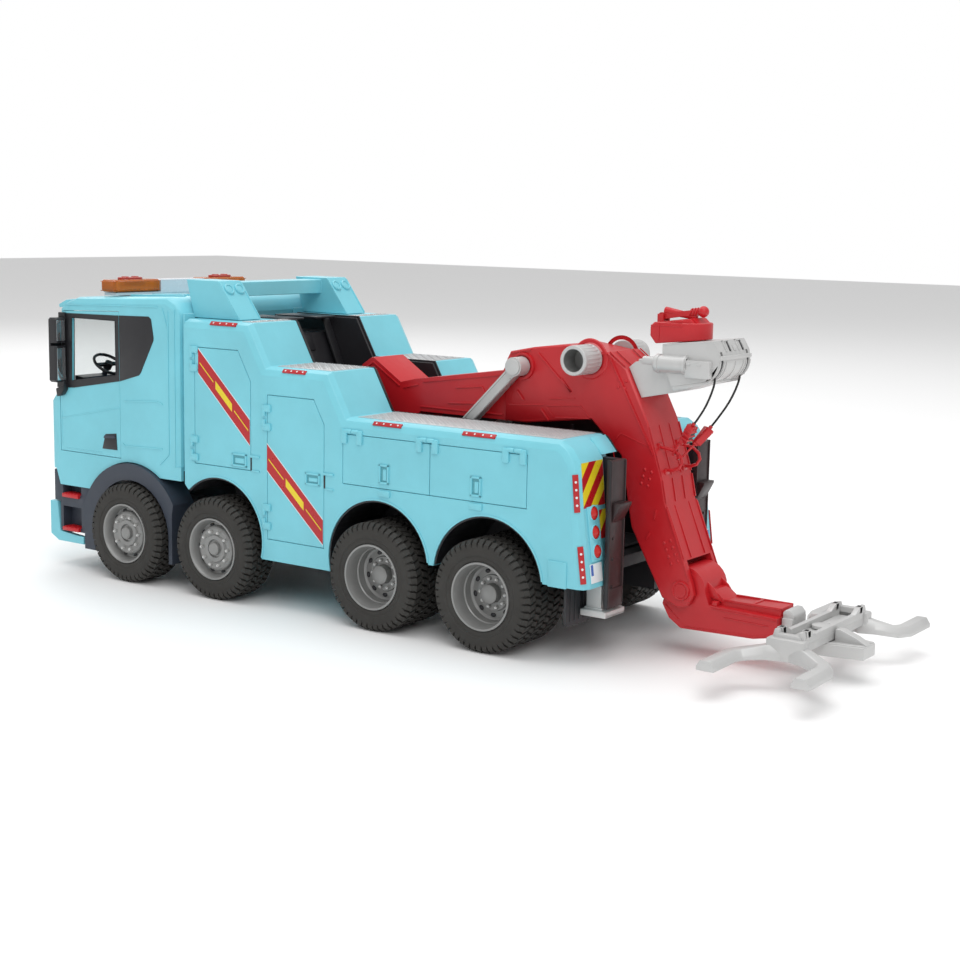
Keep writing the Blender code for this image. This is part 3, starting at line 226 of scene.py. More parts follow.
class Piece:
    """A detail made of small shapes in design millimetres, joined into one object."""

    def __init__(self, name, body, material):
        self.name, self.body, self.material = name, body, material
        self.mesh = bmesh.new()
        self.frame = Matrix.Identity(4)

    def take(self, part, matrix, bevel, segments=2):
        if bevel:
            sharp = [e for e in part.edges if len(e.link_faces) == 2
                     and e.calc_face_angle(0) > math.radians(30)]
            bmesh.ops.bevel(part, geom=sharp, offset=bevel, segments=segments, profile=0.5,
                            affect="EDGES", clamp_overlap=True)
        bmesh.ops.recalc_face_normals(part, faces=part.faces)
        part.transform(self.frame @ matrix)
        if (self.frame @ matrix).determinant() < 0:
            bmesh.ops.reverse_faces(part, faces=part.faces)
        held = bpy.data.meshes.new("held")
        part.to_mesh(held)
        part.free()
        self.mesh.from_mesh(held)
        bpy.data.meshes.remove(held)
        return self

    def box(self, x, y, z, bevel=0.3, turn=None):
        part = bmesh.new()
        bmesh.ops.create_cube(part, size=1)
        bmesh.ops.scale(part, vec=[max(abs(s[1] - s[0]), 0.01) for s in (x, y, z)], verts=part.verts)
        middle = Matrix.Translation([0.5 * (s[0] + s[1]) for s in (x, y, z)])
        return self.take(part, middle @ (turn or Matrix.Identity(4)), bevel)

    def rod(self, centre, radius, length, axis="y", bevel=0.25, sides=24, top=None):
        part = bmesh.new()
        bmesh.ops.create_cone(part, cap_ends=True, segments=sides, radius1=radius,
                              radius2=radius if top is None else top, depth=length)
        turn = AXES[axis] if isinstance(axis, str) else axis
        return self.take(part, Matrix.Translation(centre) @ turn, bevel)

    def prism(self, points, span, plane="xz", bevel=0.3):
        part = bmesh.new()
        low, high = sorted(span)
        face = part.faces.new([part.verts.new((u, v, 0)) for u, v in points])
        grown = bmesh.ops.extrude_face_region(part, geom=[face])
        bmesh.ops.translate(part, vec=(0, 0, high - low),
                            verts=[g for g in grown["geom"] if isinstance(g, bmesh.types.BMVert)])
        bmesh.ops.recalc_face_normals(part, faces=part.faces)
        start = high if plane == "xz" else low
        return self.take(part, Matrix.Translation(THIRD[plane] * start) @ PLANES[plane], bevel)

    def turned(self, profile, centre, axis="y", sides=48, bevel=0.0):
        """A closed-up profile of (radius, height) turned about an axis."""
        part = bmesh.new()
        rows = []
        for index in range(sides):
            angle = 2 * math.pi * index / sides
            rows.append([part.verts.new((r * math.cos(angle), r * math.sin(angle), h)) for r, h in profile])
        for index in range(sides):
            here, after = rows[index], rows[(index + 1) % sides]
            for step in range(len(profile) - 1):
                part.faces.new((here[step], after[step], after[step + 1], here[step + 1]))
        bmesh.ops.remove_doubles(part, verts=part.verts, dist=1e-4)
        return self.take(part, Matrix.Translation(centre) @ AXES[axis], bevel)

    def tube(self, points, radius, sides=10):
        """A round bar along points."""
        part = bmesh.new()
        rings = []
        path = [Vector(p) for p in points]
        normal = Vector((0.13, 0.31, 0.94))
        for index, point in enumerate(path):
            run = (path[min(index + 1, len(path) - 1)] - path[max(index - 1, 0)]).normalized()
            normal = (normal - run * normal.dot(run)).normalized()
            side = run.cross(normal)
            rings.append([part.verts.new(point + radius * (math.cos(a) * normal + math.sin(a) * side))
                          for a in (2 * math.pi * k / sides for k in range(sides))])
        for here, after in zip(rings, rings[1:]):
            for k in range(sides):
                n = (k + 1) % sides
                part.faces.new((here[k], here[n], after[n], after[k]))
        part.faces.new(rings[0][::-1])
        part.faces.new(rings[-1])
        return self.take(part, Matrix.Identity(4), 0)

    def done(self, replaces=(), smooth=35):
        data = bpy.data.meshes.new(self.name)
        self.mesh.transform(TO_ROW)
        self.mesh.to_mesh(data)
        self.mesh.free()
        item = bpy.data.objects.new(self.name, data)
        bpy.context.scene.collection.objects.link(item)
        finish_piece(item, self.body, self.material, smooth)
        if replaces:
            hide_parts(*replaces)
        return item


def dress(node, material, width=0.6, segments=3, angle=32, clean=1.0):
    """The CAD piece again with rounded edges, in its finish."""
    source = NODES[node]
    data = source.data.copy()
    work = bmesh.new()
    work.from_mesh(data)
    bmesh.ops.remove_doubles(work, verts=work.verts, dist=0.002 * MM)
    bmesh.ops.dissolve_limit(work, angle_limit=math.radians(clean), verts=work.verts, edges=work.edges)
    work.to_mesh(data)
    work.free()
    item = bpy.data.objects.new(node + "_skin", data)
    bpy.context.scene.collection.objects.link(item)
    item.matrix_world = source.matrix_world.copy()
    finish_piece(item, BODY_OF[node], material)
    bevel = item.modifiers.new("rounding", "BEVEL")
    bevel.width = width * MM
    bevel.segments = segments
    bevel.limit_method = "ANGLE"
    bevel.angle_limit = math.radians(angle)
    bevel.harden_normals = True
    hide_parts(node)
    return item


# ---- ropes ---------------------------------------------------------------------------------
ROPES = {
    "left": ((-106.5, 16.0, 172.0), (-110.6, 16.0, 166.0), (-110.0, 15.5, 159.5), (-105.2, 14.0, 149.0),
             (-99.6, 12.6, 140.8), (-96.4, 11.9, 136.9)),
    "right": ((-106.5, -16.0, 172.0), (-110.4, -16.0, 166.0), (-110.2, -14.9, 159.5),
              (-107.2, -10.8, 149.0), (-102.4, -5.8, 139.0), (-99.4, -3.4, 134.0)),
}
ROPE_DIAMETER = 1.3


def smooth_route(points, count):
    """Points along a smooth curve through the route's own points."""
    route = [points[0]] + list(points) + [points[-1]]
    result = []
    for index in range(1, len(route) - 2):
        p0, p1, p2, p3 = route[index - 1:index + 3]
        for step in range(count):
            t = step / count
            weights = (0.5 * (-t + 2 * t * t - t ** 3), 0.5 * (2 - 5 * t * t + 3 * t ** 3),
                       0.5 * (t + 4 * t * t - 3 * t ** 3), 0.5 * (-t * t + t ** 3))
            result.append(tuple(sum(w * p[axis] for w, p in zip(weights, (p0, p1, p2, p3)))
                                for axis in range(3)))
    result.append(points[-1])
    return result


def rope(name):
    """A winch rope as a curve, with where it leaves the head and its length."""
    points = [at(*p) for p in smooth_route(ROPES[name], 3)]
    curve = bpy.data.curves.new(f"rope_{name}", "CURVE")
    curve.dimensions = "3D"
    curve.bevel_depth = 0.5 * ROPE_DIAMETER * MM
    curve.bevel_resolution = 2
    curve.use_fill_caps = True
    spline = curve.splines.new("POLY")
    spline.points.add(len(points) - 1)
    for point, place in zip(spline.points, points):
        point.co = (*place, 1)
    item = bpy.data.objects.new(f"rope_{name}_line", curve)
    bpy.context.scene.collection.objects.link(item)
    curve.materials.append(ROPE)
    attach(item, "boom")
    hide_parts(f"rope_{name}")
    length = sum((b - a).length for a, b in zip(points, points[1:]))
    return item, points[0], length


# ---- wheels --------------------------------------------------------------------------------
TYRE_WIDTHS = (26.0, 26.0, 44.0, 44.0)
WHEEL_FACE = 86.5
TYRE_RADIUS = 34.0
TREAD_PITCHES = 46


def wheel(number, side_name, side):
    """A tyre with tread blocks and a rim with its nuts, slots and hub; the slots are black ovals set into the
    rim, painted shade.
    """
    x, width = AXLE_X[number - 1], TYRE_WIDTHS[number - 1]
    body = f"wheelset_{number}"
    centre = (x, 0, WHEEL_Z)
    face = side * WHEEL_FACE

    def outer(points):
        """Profile points (radius, depth from the face) as (radius, y)."""
        return [(r, face - side * d) for r, d in points]

    carcass = Piece(f"tyre_{number}_{side_name}_rubber", body, RUBBER)
    depth = 1.9                         # of the tread
    top = TYRE_RADIUS - depth
    profile = [(20.8, 2.2), (20.9, 0.9), (22.2, 0.3), (24.0, 0.55), (24.6, 0.1), (28.6, 0.1), (30.4, 0.9),
               (top, 3.2), (top, width - 3.2), (30.4, width - 0.9), (28.6, width - 0.1), (21.0, width - 0.3),
               (18.7, width - 0.6), (18.7, 3.0), (20.8, 2.2)]
    carcass.turned(outer(profile), centre, sides=96)
    rows = 4 if width < 30 else 6
    across = (width - 5.0) / rows
    turn_step = 2 * math.pi / TREAD_PITCHES
    half = 0.36 * 33 * turn_step
    for step in range(TREAD_PITCHES):
        angle = turn_step * step
        for row in range(rows):
            shift = (0.5 if row % 2 else 0.0) * turn_step
            y = face - side * (2.5 + across * (row + 0.5))
            skew = 0.9 if row % 2 else -0.9
            tall = depth + 0.6
            turn = Matrix.Translation(centre) @ Matrix.Rotation(angle + shift, 4, "Y")
            part = bmesh.new()
            wide = 0.43 * across
            base = [(-half - skew, -wide), (half - skew, -wide), (half + skew, wide), (-half + skew, wide)]
            low = [part.verts.new((u, y + v, TYRE_RADIUS - tall)) for u, v in base]
            high = [part.verts.new((0.93 * u, y + 0.93 * v, 33.96)) for u, v in base]
            part.faces.new(low[::-1])
            part.faces.new(high)
            for k in range(4):
                n = (k + 1) % 4
                part.faces.new((low[k], low[n], high[n], high[k]))
            carcass.take(part, turn, 0)
        for edge, sign in ((face - side * 1.75, side), (face - side * (width - 1.75), -side)):
            turn = Matrix.Translation(centre) @ Matrix.Rotation(angle, 4, "Y")
            part = bmesh.new()
            shape = [(-1.2, 27.6), (-1.2, 31.6), (1.6, 33.9), (1.6, 30.0)]
            faces = []
            for u in (-half * 0.95, half * 0.95):
                faces.append([part.verts.new((u, edge - sign * v + sign * 0.3, z)) for v, z in shape])
            part.faces.new(faces[0])
            part.faces.new(faces[1][::-1])
            for k in range(4):
                n = (k + 1) % 4
                part.faces.new((faces[0][n], faces[0][k], faces[1][k], faces[1][n]))
            carcass.take(part, turn, 0)
    carcass.done([f"tyre_{number}_{side_name}"], smooth=30)

    rim = Piece(f"rim_{number}_{side_name}", body, RIM)
    nuts = Piece(f"nuts_{number}_{side_name}", body, NUT)
    dark = Piece(f"rim_hole_shade_{number}_{side_name}", body, BLACK)
    if number <= 2:
        shape = [(0, 1.2), (3.4, 1.3), (4.2, 2.0), (4.4, 4.2), (5.6, 4.4), (6.2, 3.2), (8.8, 3.0), (9.4, 4.0),
                 (13.4, 3.5), (14.6, 4.2), (15.6, 6.4), (17.2, 6.6), (18.2, 3.4), (18.8, 1.2), (19.4, 0.4),
                 (20.4, 0.4), (20.6, 2.4), (18.5, 2.6), (18.5, width - 0.4), (2.5, width - 0.4)]
        ring, hole, nut_at, holes_at = 11.4, 10, 3.0, 6.2
    else:
        shape = [(0, 8.6), (4.8, 8.7), (5.8, 9.4), (6.0, 14.6), (7.0, 14.9), (10.6, 14.6), (11.2, 15.4),
                 (15.0, 15.6), (16.4, 14.6), (17.0, 10.0), (17.6, 9.4), (18.0, 4.0), (18.8, 1.4), (19.2, 0.4),
                 (20.4, 0.4), (20.6, 2.4), (18.5, 2.6), (18.5, width - 0.4), (2.5, width - 0.4)]
        ring, hole, nut_at, holes_at = 8.8, 9, 14.2, 15.2
    rim.turned(outer(shape), centre, sides=80)
    for step in range(10):
        angle = 2 * math.pi * step / 10
        spot = (x + ring * math.cos(angle), face - side * nut_at, WHEEL_Z + ring * math.sin(angle))
        nuts.rod(spot, 1.15, 2.2, "y", 0.3, 8)
        nuts.rod(spot, 0.75, 3.2, "y", 0.2, 8)
    # Flattened black spheres set into the rim as painted shade where its slots are.
    for step in range(hole):
        angle = 2 * math.pi * (step + 0.5) / hole
        spread = 15.9 if number <= 2 else 13.4
        turn = (Matrix.Translation((x, face - side * holes_at, WHEEL_Z)) @ Matrix.Rotation(angle, 4, "Y")
                @ Matrix.Translation((0, 0, spread)))
        size = (1.9, 1.0, 0.9) if number <= 2 else (1.8, 0.8, 1.25)
        part = bmesh.new()
        bmesh.ops.create_uvsphere(part, u_segments=16, v_segments=8, radius=1.0)
        dark.take(part, turn @ Matrix.Diagonal((*size, 1)), 0)
    if side > 0:
        rim.rod((x, 0, WHEEL_Z), 2.5, 2 * (WHEEL_FACE - width) + 2, "y", 0)
    rim.done([f"axle_{number}"] if side > 0 else ())
    nuts.done()
    dark.done()


# ---- details on the locker bodies ----------------------------------------------------------
Y_SIDE = 79.3


def hinge_pair(piece, x, y, z, upright, side):
    """Two rounded lugs with a knuckle beside each, at the edge of a door or over a flap."""
    out = (y - side * 0.5, y + side * 1.5)
    for shift in (-6.0, 6.0):
        if upright:
            piece.box((x - 4.6, x + 2.6), out, (z + shift - 2.4, z + shift + 2.4), 0.9)
            piece.rod((x + 1.2, y + side * 0.5, z + 0.55 * shift), 1.3, 4.6, "z", 0.3, 16)
        else:
            piece.box((x + shift - 2.3, x + shift + 2.3), out, (z - 7.0, z + 1.8), 0.9)
            piece.rod((x + 0.45 * shift, y + side * 0.5, z + 0.8), 1.3, 5.0, "x", 0.3, 16)


def side_details(name, side):
    """Hinges, latches, handles and tread plates of one locker body; black boxes in the latch slots and a darker
    turquoise in the handle recesses are painted shade.
    """
    y = side * Y_SIDE
    body = Piece(f"side_trim_{name}", ROOT, BLUE)
    for x, zs in ((237.2, (157.6, 98.4)), (173.2, (124.0, 60.0))):
        for z in zs:
            hinge_pair(body, x, y, z, True, side)
    for x in (102.0, 44.3, -18.2):
        hinge_pair(body, x, y, 120.6, False, side)
    for x, z in ((186.4, 94.0), (124.6, 89.0)):
        body.box((x - 8.0, x), (y - side * 0.5, y + side * 1.0), (z + 3.0, z + 4.6), 0.35)
        body.box((x - 8.0, x - 1.6), (y - side * 0.5, y + side * 0.7), (z - 6.2, z - 5.0), 0.3)
    for x in (76.6, 8.4):
        body.box((x - 4.6, x + 4.6), (y - side * 0.5, y + side * 1.2), (83.6, 87.6), 0.5)
    body.box((-55.3, -42.7), (y - side * 0.5, y + side * 0.8), (45.5, 61.0), 0.5)
    body.done()
    # Black boxes laid on the surface as painted shade in the latch slots.
    slots = Piece(f"latch_slot_shade_{name}", ROOT, BLACK)
    for x, z in ((186.4, 94.0), (124.6, 89.0)):
        slots.box((x - 1.1, x + 0.1), (y - side * 0.5, y + side * 0.25), (z - 5.4, z + 3.4), 0.1)
    slots.done()
    for title, door_x, door_z in (("locker_1", (189.6, 202.4), (90.0, 98.6)),
                                  ("locker_2", (127.6, 139.6), (84.6, 92.4)),
                                  ("flap_3", (73.0, 80.6), (91.5, 103.5)),
                                  ("flap_4", (4.8, 12.4), (91.5, 103.5))):
        grip = Piece(f"{title}_grip_{name}", f"{title}_{name}", BLUE)
        # The recess floor inside each handle frame is a darker turquoise: painted shade.
        inset = Piece(f"{title}_inset_{name}", f"{title}_{name}", BLUE_PAINTED_SHADE)
        x0, x1 = door_x
        z0, z1 = door_z
        outside = y + side * 1.0
        for x_pair, z_pair in (((x0, x1), (z1 - 1.3, z1)), ((x0, x1), (z0, z0 + 1.3)),
                               ((x0, x0 + 1.3), (z0, z1)), ((x1 - 1.3, x1), (z0, z1))):
            grip.box(x_pair, (y - side * 0.5, outside), z_pair, 0.35)
        inset.box((x0 + 1.2, x1 - 1.2), (y - side * 0.4, y + side * 0.06), (z0 + 1.2, z1 - 1.2), 0)
        grip.box((x0 + 1.8, x1 - 3.0), (y - side * 0.5, y + side * 0.75), (z0 + 2.2, z1 - 2.9), 0.5)
        grip.done()
        inset.done()
    plates = Piece(f"tread_plates_{name}", ROOT, PLATE)
    inner, outer = side * 33.6, side * 70.8
    tops = (((192.5, 246.0 - 44.5), 182.9), ((126.0, 170.5), 156.2), ((-44.0, 104.5), 129.3))
    for (x0, x1), z in tops:
        plates.box((x0, x1), (inner, outer), (z - 0.2, z + 0.35), 0.15)
        columns = int((x1 - x0) / 3.4)
        for i in range(columns):
            for j in range(10):
                u, v = x0 + 1.7 + 3.4 * i, 35.6 + 3.5 * j
                turn = Matrix.Rotation(math.radians(45 if (i + j) % 2 else -45), 4, "Z")
                plates.box((u - 1.25, u + 1.25), (side * v - 0.33, side * v + 0.33),
                           (z + 0.2, z + 0.62), 0.0, turn)
    plates.done()


def stripes(name, side):
    """Diagonal bands with pinstripes on the two tall doors."""
    y = side * Y_SIDE
    thin = (y - side * 0.05, y + side * 0.10)
    thinner = (y, y + side * 0.16)
    for title, band in (("locker_1", ((232.6, 164.6), (232.6, 148.2), (187.0, 104.6), (187.0, 121.4))),
                        ("locker_2", ((172.2, 107.4), (172.2, 89.8), (125.3, 47.4), (125.3, 63.6)))):
        red = Piece(f"{title}_band_{name}", f"{title}_{name}", STICK_RED)
        red.prism(band, thin, "xz", 0)
        red.done()
        (x0, top), (_, low), (x1, low_rear), (_, top_rear) = band
        pale = Piece(f"{title}_band_edges_{name}", f"{title}_{name}", STICK_WHITE)
        gold = Piece(f"{title}_pinstripes_{name}", f"{title}_{name}", STICK_YELLOW)
        for front, rear in ((top, top_rear), (low, low_rear)):
            pale.prism(((x0, front + 0.3), (x0, front - 0.3), (x1, rear - 0.3), (x1, rear + 0.3)),
                       thinner, "xz", 0)
        for start, end in ((0.03, 0.30), (0.34, 0.66), (0.70, 0.97)):
            ends = [(x0 + (x1 - x0) * t, 0.5 * (top + low) + 0.5 * (top_rear + low_rear - top - low) * t)
                    for t in (start, end)]
            (xa, za), (xb, zb) = ends
            half = 0.45 if start != 0.34 else 2.6
            gold.prism(((xa, za + half), (xa, za - half), (xb, zb - half), (xb, zb + half)), thinner, "xz", 0)
        pale.done()
        gold.done()


def slope_frame(low, high):
    """A frame on a slope in the xz plane: X points out of the back, Z runs up the slope."""
    run = Vector((high[0] - low[0], 0, high[1] - low[1])).normalized()
    across = Vector((0, 1, 0))
    out = across.cross(run)
    if out.x > 0:
        out, across = -out, -across
    basis = Matrix((out, across, run)).transposed().to_4x4()
    return Matrix.Translation((low[0], 0, low[1])) @ basis


def tail_details(name, side):
    """Lights, hazard stickers, plate and marker strips on the tail."""
    lower = slope_frame((-67.6, 46.0), (-61.8, 89.2))
    upper = slope_frame((-61.8, 89.2), (-58.9, 118.2))
    flip = -1 if lower.to_3x3().col[1].y < 0 else 1
    bezel = Piece(f"tail_bezels_{name}", ROOT, BLUE)
    lens = Piece(f"tail_lenses_{name}", ROOT, LENS_RED)
    bezel.frame = lens.frame = lower
    y = flip * side * 64.4
    bezel.box((-0.3, 0.9), (y - 6.0, y + 6.0), (15.0, 46.6), 0.4)
    for z in (66.4, 77.3, 88.1):
        along = (z - 46.0) * 1.009
        bezel.turned([(4.0, 0.8), (4.05, 1.5), (4.5, 1.5), (4.8, 0.8)], (0, y, along), "x", 32)
        lens.turned([(0, 3.0), (1.4, 2.8), (2.7, 2.2), (3.6, 1.4), (4.0, 0.8)], (0, y, along), "x", 32)
    bezel.done()
    lens.done()
    for kind, material in (("red", STICK_RED), ("yellow", STICK_YELLOW)):
        sticker = Piece(f"hazard_{kind}_{name}", ROOT, material)
        for index in range(-2, 12):
            if (index % 2 == 0) != (kind == "red"):
                continue
            low = -22.0 + index * 8.2
            for frame, outer, floor, top, shift in ((upper, 73.4, 2.5, 28.2, 0.0),
                                                    (lower, 57.8, 27.0, 43.4, 43.6)):
                sticker.frame = frame
                band = clip_band(50.2, outer, low + shift + 25.0, low + shift + 33.2, -1.05, floor, top)
                if band:
                    sticker.prism([(flip * side * u, v) for u, v in band], (0.02, 0.14), "yz", 0)
        sticker.done()
    plate = Piece(f"number_plate_{name}", ROOT, STICK_WHITE)
    stripe = Piece(f"number_plate_stripe_{name}", ROOT, STICK_BLUE)
    plate.frame = stripe.frame = lower
    middle = flip * side * 65.8
    plate.box((-0.2, 0.4), (middle - 6.2, middle + 6.2), (3.0, 14.0), 0.2)
    edge = middle + flip * side * 5.8
    stripe.box((0.2, 0.5), (edge - flip * side * 2.4, edge), (7.4, 13.6), 0)
    plate.done()
    stripe.done()
    strip = Piece(f"marker_strips_{name}", ROOT, STICK_RED)
    dots = Piece(f"marker_dots_{name}", ROOT, STICK_WHITE)
    for a, b in ((49.6, 71.3), (90.0, 111.6)):
        foot_x, head_x = (-67.1, -64.2) if b < 80 else (-61.7, -59.6)
        corner = slope_frame((foot_x + 1.6, a), (head_x + 1.6, b))
        turn = Matrix.Rotation(flip * side * math.radians(45), 4, "Z")
        place = corner @ Matrix.Translation((0, flip * side * 77.75, 0)) @ turn
        for piece in (strip, dots):
            piece.frame = place
        strip.box((-0.5, 0.45), (-1.7, 1.7), (0.0, 21.4), 0.1)
        for k in range(4):
            dots.rod((0.35, 0, 4.0 + 4.4 * k), 0.7, 0.5, "x", 0, 12)
    strip.done()
    dots.done()
    cap = Piece(f"tail_cap_{name}", ROOT, BLUE)
    cap.prism(((-50.3, 129.2), (-50.3, 119.8), (-58.4, 119.8), (-53.9, 125.2), (-50.9, 128.2)),
              (side * 33.0, side * 49.7), "xz", 0.5)
    cap.done()


def clip_band(u0, u1, v0, v1, slope, low, high):
    """A slanted band between two upright edges, cut at a floor and a ceiling."""
    rise = slope * (u1 - u0)
    corners = [(u0, v0), (u1, v0 + rise), (u1, v1 + rise), (u0, v1)]
    for limit, sign in ((low, 1), (high, -1)):
        kept = []
        for here, after in zip(corners, corners[1:] + corners[:1]):
            inside, next_inside = sign * (here[1] - limit) >= 0, sign * (after[1] - limit) >= 0
            if inside:
                kept.append(here)
            if inside != next_inside:
                t = (limit - here[1]) / (after[1] - here[1])
                kept.append((here[0] + t * (after[0] - here[0]), limit))
        corners = kept
        if len(corners) < 3:
            return None
    return corners


# ---- cab -----------------------------------------------------------------------------------
CAB_Y = 77.0


def ridge(piece, start, end, y, out, width=0.5, plane="xz"):
    """A thin raised line between two points of a side face."""
    run = Vector((end[0] - start[0], end[1] - start[1])).normalized()
    off = Vector((-run.y, run.x)) * 0.5 * width
    points = [(start[0] + off.x, start[1] + off.y), (start[0] - off.x, start[1] - off.y),
              (end[0] - off.x, end[1] - off.y), (end[0] + off.x, end[1] + off.y)]
    piece.prism(points, (y, y + out), plane, 0.12)


def cab_side(name, side):
    """Window surround, handle, creases and mirror glass on one side of the cab."""
    y = side * CAB_Y
    skin = (y - side * 0.1, y + side * 0.28)
    door = Piece(f"window_surround_{name}", f"cab_door_{name}", BLACK)
    corners = ((356.4, 178.3), (312.8, 178.2), (312.6, 140.8), (357.6, 134.0))
    front_top, rear_top, rear_low, front_low = corners
    for quad in (((309.7, 181.8), (365.9, 181.0), front_top, rear_top),
                 ((365.9, 181.0), (369.7, 128.2), front_low, front_top),
                 ((369.7, 128.2), (355.0, 129.4), (309.7, 137.0), rear_low, front_low),
                 ((309.7, 137.0), (309.7, 181.8), rear_top, rear_low)):
        door.prism(quad, skin, "xz", 0)
    for start, end in zip(corners, corners[1:] + corners[:1]):
        ridge(door, start, end, y, side * 0.5, 0.7)
    inside = (side * 73.9, side * 74.45)
    door.prism(((369, 86), (369, 128), front_low, rear_low, (310.2, 140.8), (310.2, 86)), inside, "xz", 0)
    door.prism(((369, 128), (365.4, 181.0), (357.0, 181.0), (358.0, 134.0)), inside, "xz", 0)
    door.prism(((327.4, 89.0), (324.2, 99.4), (313.4, 100.6), (312.6, 89.2)),
               (y - side * 0.1, y + side * 0.35), "xz", 0.15)
    door.done()
    grip = Piece(f"door_grip_{name}", f"cab_door_{name}", GREY)
    grip.prism(((325.6, 96.6), (324.6, 98.6), (314.4, 99.4), (314.2, 97.2)), (y, y + side * 1.1), "xz", 0.3)
    grip.done()
    crease = Piece(f"door_crease_{name}", f"cab_door_{name}", BLUE)
    ridge(crease, (369.4, 106.8), (310.2, 118.9), y, side * 0.28, 0.8)
    for start, end in (((365.0, 86.2), (328.0, 86.2)), ((368.4, 88.0), (368.4, 112.0))):
        ridge(crease, start, end, y, side * 0.2, 0.5)
    crease.done()
    quarter = Piece(f"quarter_panel_{name}", ROOT, BLACK)
    quarter.prism(((309.2, 181.9), (280.6, 182.6), (278.2, 181.0), (276.0, 168.6), (276.2, 166.6),
                   (288.5, 144.4), (290.4, 142.4), (309.2, 137.0)), skin, "xz", 0.1)
    quarter.done()
    lines = Piece(f"cab_lines_{name}", ROOT, BLUE)
    for start, end in (((304.6, 124.0), (273.0, 125.9)), ((273.0, 125.9), (268.2, 124.4)),
                       ((305.0, 92.9), (268.6, 94.2)), ((305.0, 92.9), (307.4, 94.6)),
                       ((262.6, 187.0), (262.6, 91.0)), ((262.6, 91.0), (271.0, 83.6)),
                       ((256.6, 188.5), (256.6, 83.0)), ((268.0, 189.0), (263.4, 176.0)),
                       ((307.0, 188.6), (272.0, 189.4)), ((364.0, 187.0), (307.0, 188.6))):
        ridge(lines, start, end, y, side * 0.45, 0.9)
    lines.done()
    skirt = Piece(f"cab_back_{name}", ROOT, BLUE)
    skirt.box((249.5, 251.0), (side * 34, side * 74.5), (95, 186), 0.4)
    skirt.done()
    glass = Piece(f"mirror_glass_{name}", f"mirror_{name}", MIRROR_GLASS)
    for low, high in ((134.6, 157.0), (162.0, 176.4)):
        glass.box((361.45, 361.8), (side * 79.0, side * 86.2), (low, high), 0.3)
    glass.done()
    arms = Piece(f"mirror_arms_{name}", f"cab_door_{name}", BLACK)
    arms.box((362.0, 368.5), (side * 77.0, side * 79.0), (176.5, 181.5), 0.6)
    arms.prism(((369.5, 128.0), (361.0, 131.5), (361.5, 127.2), (364.5, 123.6), (368.5, 122.4)),
               (side * 77.1, side * 81.5), "xz", 0.5)
    arms.done()


def cab_front():
    """Visor, grille, wipers, headlamps and roof ribs."""
    black = Piece("grille_panel", ROOT, BLACK)
    black.prism(((-50, 76), (50, 76), (54, 119), (-54, 119)), (380.2, 381.3), "yz", 0.4)
    for k in range(5):
        black.box((380.8, 382.2), (-50, 50), (79.0 + 7.4 * k, 82.6 + 7.4 * k), 0.4)
    black.box((367.4, 372.0), (-66, 66), (182.8, 185.2), 0.4)
    for side in (1, -1):
        black.tube([(378.2, side * 4, 124.4), (375.0, side * 26, 131.6), (374.4, side * 58, 133.2)], 0.7)
    black.done()
    for name, side in SIDES:
        lamp = Piece(f"headlamp_{name}", ROOT, STICK_WHITE)
        for u in (55.0, 63.5):
            lamp.turned([(0, 376.4), (3.3, 376.2), (3.9, 375.6), (3.9, 374.0)],
                        (0, side * u, 58.0), "x", 28)
        lamp.done()
        house = Piece(f"headlamp_house_{name}", ROOT, GREY)
        house.prism(((side * 49.5, 48.5), (side * 72.5, 48.5), (side * 75.5, 56.0), (side * 75.5, 68.5),
                     (side * 49.5, 68.5)), (371.5, 375.2), "yz", 0.8)
        house.box((372.0, 378.8), (side * 72.8, side * 76.4), (47.2, 69.6), 0.7)
        house.done()
        for low in (29.0, 53.0):
            tread = Piece(f"step_tread_{low:.0f}_{name}", ROOT, RED)
            tread.box((352.0, 368.8), (side * 69.4, side * 78.6), (low - 2.4, low + 0.4), 0.5)
            for k in range(5):
                rib = 353.2 + 3.1 * k
                tread.box((rib, rib + 1.4), (side * 70, side * 78), (low + 0.2, low + 0.9), 0.2)
            tread.done()
    bars = Piece("bumper_trim", ROOT, GREY)
    bars.box((381.6, 382.9), (-46, 46), (27.0, 33.0), 0.4)
    bars.box((381.6, 382.9), (-46, 46), (36.0, 42.0), 0.4)
    bars.done()
    roof = Piece("roof_ribs", ROOT, BLUE)
    roof.prism(((362, 188.6), (370.4, 184.6), (377.5, 184.0), (377.9, 186.4), (370.5, 189.6), (362, 190.6)),
               (-70, 70), "xz", 0.7)
    for side in (1, -1):
        for u in (36.0, 56.0):
            roof.box((268, 318), (side * u - 2, side * u + 2), (194.0, 196.2), 0.5,
                     Matrix.Rotation(math.radians(1.9), 4, "Y"))
    roof.done()


# ---- light bar and roll bar ----------------------------------------------------------------
def light_bar_details(name, side):
    """Ribs inside the amber lens, a seam round it and a foot on the roof."""
    seam = Piece(f"lens_seam_{name}", ROOT, AMBER)
    for low, high in ((197.0, 197.6), (203.4, 203.9)):
        seam.box((325.02, 339.98), (side * 22.4, side * 65.3), (low, high), 0.2)
    for k in range(9):
        u = side * (26.0 + 4.4 * k)
        seam.box((339.5, 340.0), (u - 0.5, u + 0.5), (197.8, 203.2), 0.15)
    seam.done()
    foot = Piece(f"light_bar_foot_{name}", ROOT, WHITE)
    foot.box((327.0, 338.0), (side * 40.0, side * 50.0), (191.8, 194.6), 0.4)
    foot.done()
    lug = Piece(f"button_ring_{name}", f"siren_button_{name}", BUTTON)
    for shift in (-4.6, 4.6):
        lug.rod((332.5, side * 44.6 + shift, 206.5), 2.6, 1.0, "z", 0.35, 20)
    lug.done()


